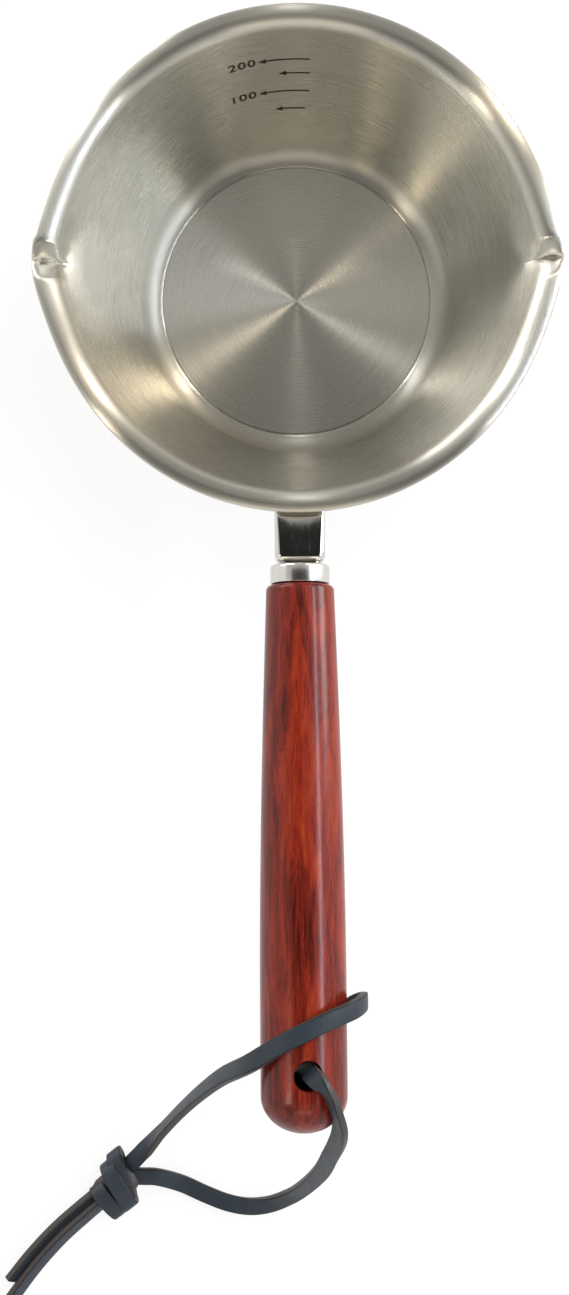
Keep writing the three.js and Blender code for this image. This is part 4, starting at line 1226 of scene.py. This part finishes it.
class PAN_OT_make_neck(bpy.types.Operator):
    """Make the pressed bracket and the ferrule, and finish the bolt that draws the handle on"""

    bl_idname = "pan.make_neck"
    bl_label = "Make Neck"

    mirror_blur, satin_blur = 0.04, 0.2

    def execute(self, context):
        scene = context.scene
        bowl, neck, handle = scene.pan_bowl, scene.pan_neck, scene.pan_handle
        mirror = polished_stainless("stainless_mirror_polished", scene.pan_colours, self.mirror_blur)
        satin = polished_stainless("stainless_satin_polished", scene.pan_colours, self.satin_blur)
        bracket = join_pieces("pressed_bracket", [
            self.channel(bowl, neck, handle), self.end_wall(neck, handle), self.flange(bowl, neck)])
        finish_piece(bracket, mirror, "polished_steel", "handle_bracket", crease=40)
        ferrule = turn_on_lathe("polished_ferrule", self.ferrule_section(neck), FERRULE_SIDES)
        self.close_ring(ferrule)
        ferrule.data.transform(lathe_to_handle(handle))
        finish_piece(ferrule, satin, "polished_steel", "ferrule", crease=40)
        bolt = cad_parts["handle_bolt"]
        bolt.data.materials.clear()
        bolt.data.materials.append(zinc_plate(scene.pan_colours))
        return {"FINISHED"}

    def channel(self, bowl, neck, handle):
        """The bracket's top and sides, with their flare on to the bowl."""
        rings = channel_rings(bowl, neck, handle)
        points = [point for ring in rings for point in ring]
        channel = add_mesh("channel", points, strip_faces(len(rings), len(rings[0])))
        pick(channel)
        edit_all()
        turn_faces_out()
        top = max(channel.data.polygons, key=lambda polygon: abs(polygon.normal.z))
        if top.normal.z < 0:
            channel.data.flip_normals()
        thicken(channel, neck.sheet, offset=-1, use_even_offset=True)
        round_edges(channel, CUT_EDGE, 2, 60)
        return channel

    def end_wall(self, neck, handle):
        """The wall against the ferrule, with the bolt's hole."""
        inset = neck.end_round - neck.sheet / 4
        width, height = neck.width - 2 * inset, neck.top + neck.drop - inset
        wall = round_plate("end_wall", width, height, neck.ferrule_bend / 2, 4)
        wall.data.transform(Matrix.Translation((0, 0, height / 2 - neck.drop)))
        thicken(wall, neck.sheet, offset=0)
        drill = add_new(
            "drill", bpy.ops.mesh.primitive_cylinder_add, vertices=HOLE_SIDES, radius=neck.bolt_hole,
            depth=10 * neck.sheet, rotation=(QUARTER, 0, 0))
        cut_away(wall, drill)
        wall.data.transform(handle_frame(handle) @ Matrix.Translation((0, GAP + neck.sheet / 2, 0)))
        return wall

    def flange(self, bowl, neck):
        """The plate that is welded to the bowl and follows its wall."""
        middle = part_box("handle_bracket")[0].z + neck.flange_height / 2
        plate = round_plate("flange", neck.flange_width, neck.flange_height, neck.flange_corner, 24)
        for vertex in plate.data.vertices:
            x, z = vertex.co.x, vertex.co.z + middle
            radius = wall_radius(bowl, z, bowl.sheet + GAP + neck.sheet / 2)
            vertex.co = (x, -math.sqrt(radius**2 - x**2), z)
        thicken(plate, neck.sheet, offset=0)
        round_edges(plate, 1.2 * CUT_EDGE, 3, 50)
        return plate

    def ferrule_section(self, neck):
        """From the bolt's hole over the rounded front to the open back, and back inside."""
        outside, inside = neck.ferrule_radius, neck.ferrule_radius - neck.ferrule_sheet
        length, floor, rounding = neck.ferrule_length, neck.ferrule_sheet, neck.ferrule_round
        front = arc((outside - rounding, rounding), rounding, -QUARTER, 0, 6)
        back = arc((outside - CUT_EDGE, length - CUT_EDGE), CUT_EDGE, 0, QUARTER, 3)
        inner = [(inside, length), (inside, floor), (neck.bolt_hole, floor)]
        return [(neck.bolt_hole, 0), *front, *back, *inner]

    def close_ring(self, ring):
        """Opens the two caps that the lathe made and joins their edges, so that a hole goes through."""
        pick(ring)
        bpy.ops.object.mode_set(mode="EDIT")
        bpy.ops.mesh.select_mode(type="FACE")
        bpy.ops.mesh.select_all(action="DESELECT")
        bpy.ops.object.mode_set(mode="OBJECT")
        for polygon in ring.data.polygons:
            polygon.select = len(polygon.vertices) > 4
        bpy.ops.object.mode_set(mode="EDIT")
        bpy.ops.mesh.bridge_edge_loops()
        bpy.ops.mesh.select_mode(type="VERT")
        turn_faces_out()


class PAN_OT_make_handle(bpy.types.Operator):
    """Turn the handle and drill its hanging hole"""

    bl_idname = "pan.make_handle"
    bl_label = "Make Handle"

    def execute(self, context):
        neck, handle = context.scene.pan_neck, context.scene.pan_handle
        hole_at = hole_from_front(neck, handle)
        piece = turn_on_lathe("turned_handle", handle_section(neck, handle), HANDLE_SIDES)
        cut_away(piece, self.drill(handle, hole_at))
        piece.data.transform(lathe_to_handle(handle))
        wood = lacquered_rosewood(context.scene.pan_colours, handle, hole_at)
        finish_piece(piece, wood, "lacquered_wood", "handle_grip", crease=40)
        return {"FINISHED"}

    def drill(self, handle, hole_at):
        """The hanging hole's shape, with the rounding of its edges at both ends."""
        belly, bore, rounding = handle.belly_radius, handle.hole_radius, handle.hole_round
        edge = arc((bore + rounding, belly - rounding), rounding, math.pi, QUARTER, 6)
        clear = bore + 2.2 * rounding
        half = [*edge, (clear, belly + 0.1 * MM), (clear, 1.6 * belly)]
        section = [*[(radius, -along) for radius, along in reversed(half)], *half]
        drill = turn_on_lathe("drill", section, HOLE_SIDES)
        turn = Matrix.Rotation(-handle.hole_turn, 4, "Z") @ Matrix.Rotation(QUARTER, 4, "X")
        drill.data.transform(Matrix.Translation((0, 0, hole_at)) @ turn)
        return drill


OPERATORS = (
    PAN_OT_set_stage,
    PAN_OT_make_strap,
    PAN_OT_make_bowl,
    PAN_OT_etch_marks,
    PAN_OT_make_neck,
    PAN_OT_make_handle,
)


class PAN_PT_sidebar(bpy.types.Panel):
    """Lists the pan's operators"""

    bl_idname = "PAN_PT_sidebar"
    bl_label = "Oil Pouring Pan"
    bl_space_type = "VIEW_3D"
    bl_region_type = "UI"
    bl_category = "Pan"

    def draw(self, context):
        for operator in OPERATORS:
            self.layout.operator(operator.bl_idname)


SETTINGS = {
    "pan_bowl": BowlSizes,
    "pan_marks": MarkSizes,
    "pan_neck": NeckSizes,
    "pan_handle": HandleSizes,
    "pan_strap": StrapSizes,
    "pan_colours": FinishColours,
    "pan_stage": StageSettings,
}


def register():
    for name, group in SETTINGS.items():
        bpy.utils.register_class(group)
        setattr(bpy.types.Scene, name, PointerProperty(type=group))
    for operator in OPERATORS:
        bpy.utils.register_class(operator)
    bpy.utils.register_class(PAN_PT_sidebar)


def unregister():
    bpy.utils.unregister_class(PAN_PT_sidebar)
    for operator in reversed(OPERATORS):
        bpy.utils.unregister_class(operator)
    for name, group in reversed(SETTINGS.items()):
        delattr(bpy.types.Scene, name)
        bpy.utils.unregister_class(group)


def main():
    register()
    bpy.ops.pan.set_stage()
    bpy.ops.pan.make_strap()
    bpy.ops.pan.make_bowl()
    bpy.ops.pan.etch_marks()
    bpy.ops.pan.make_neck()
    bpy.ops.pan.make_handle()


if __name__ == "__main__":
    main()
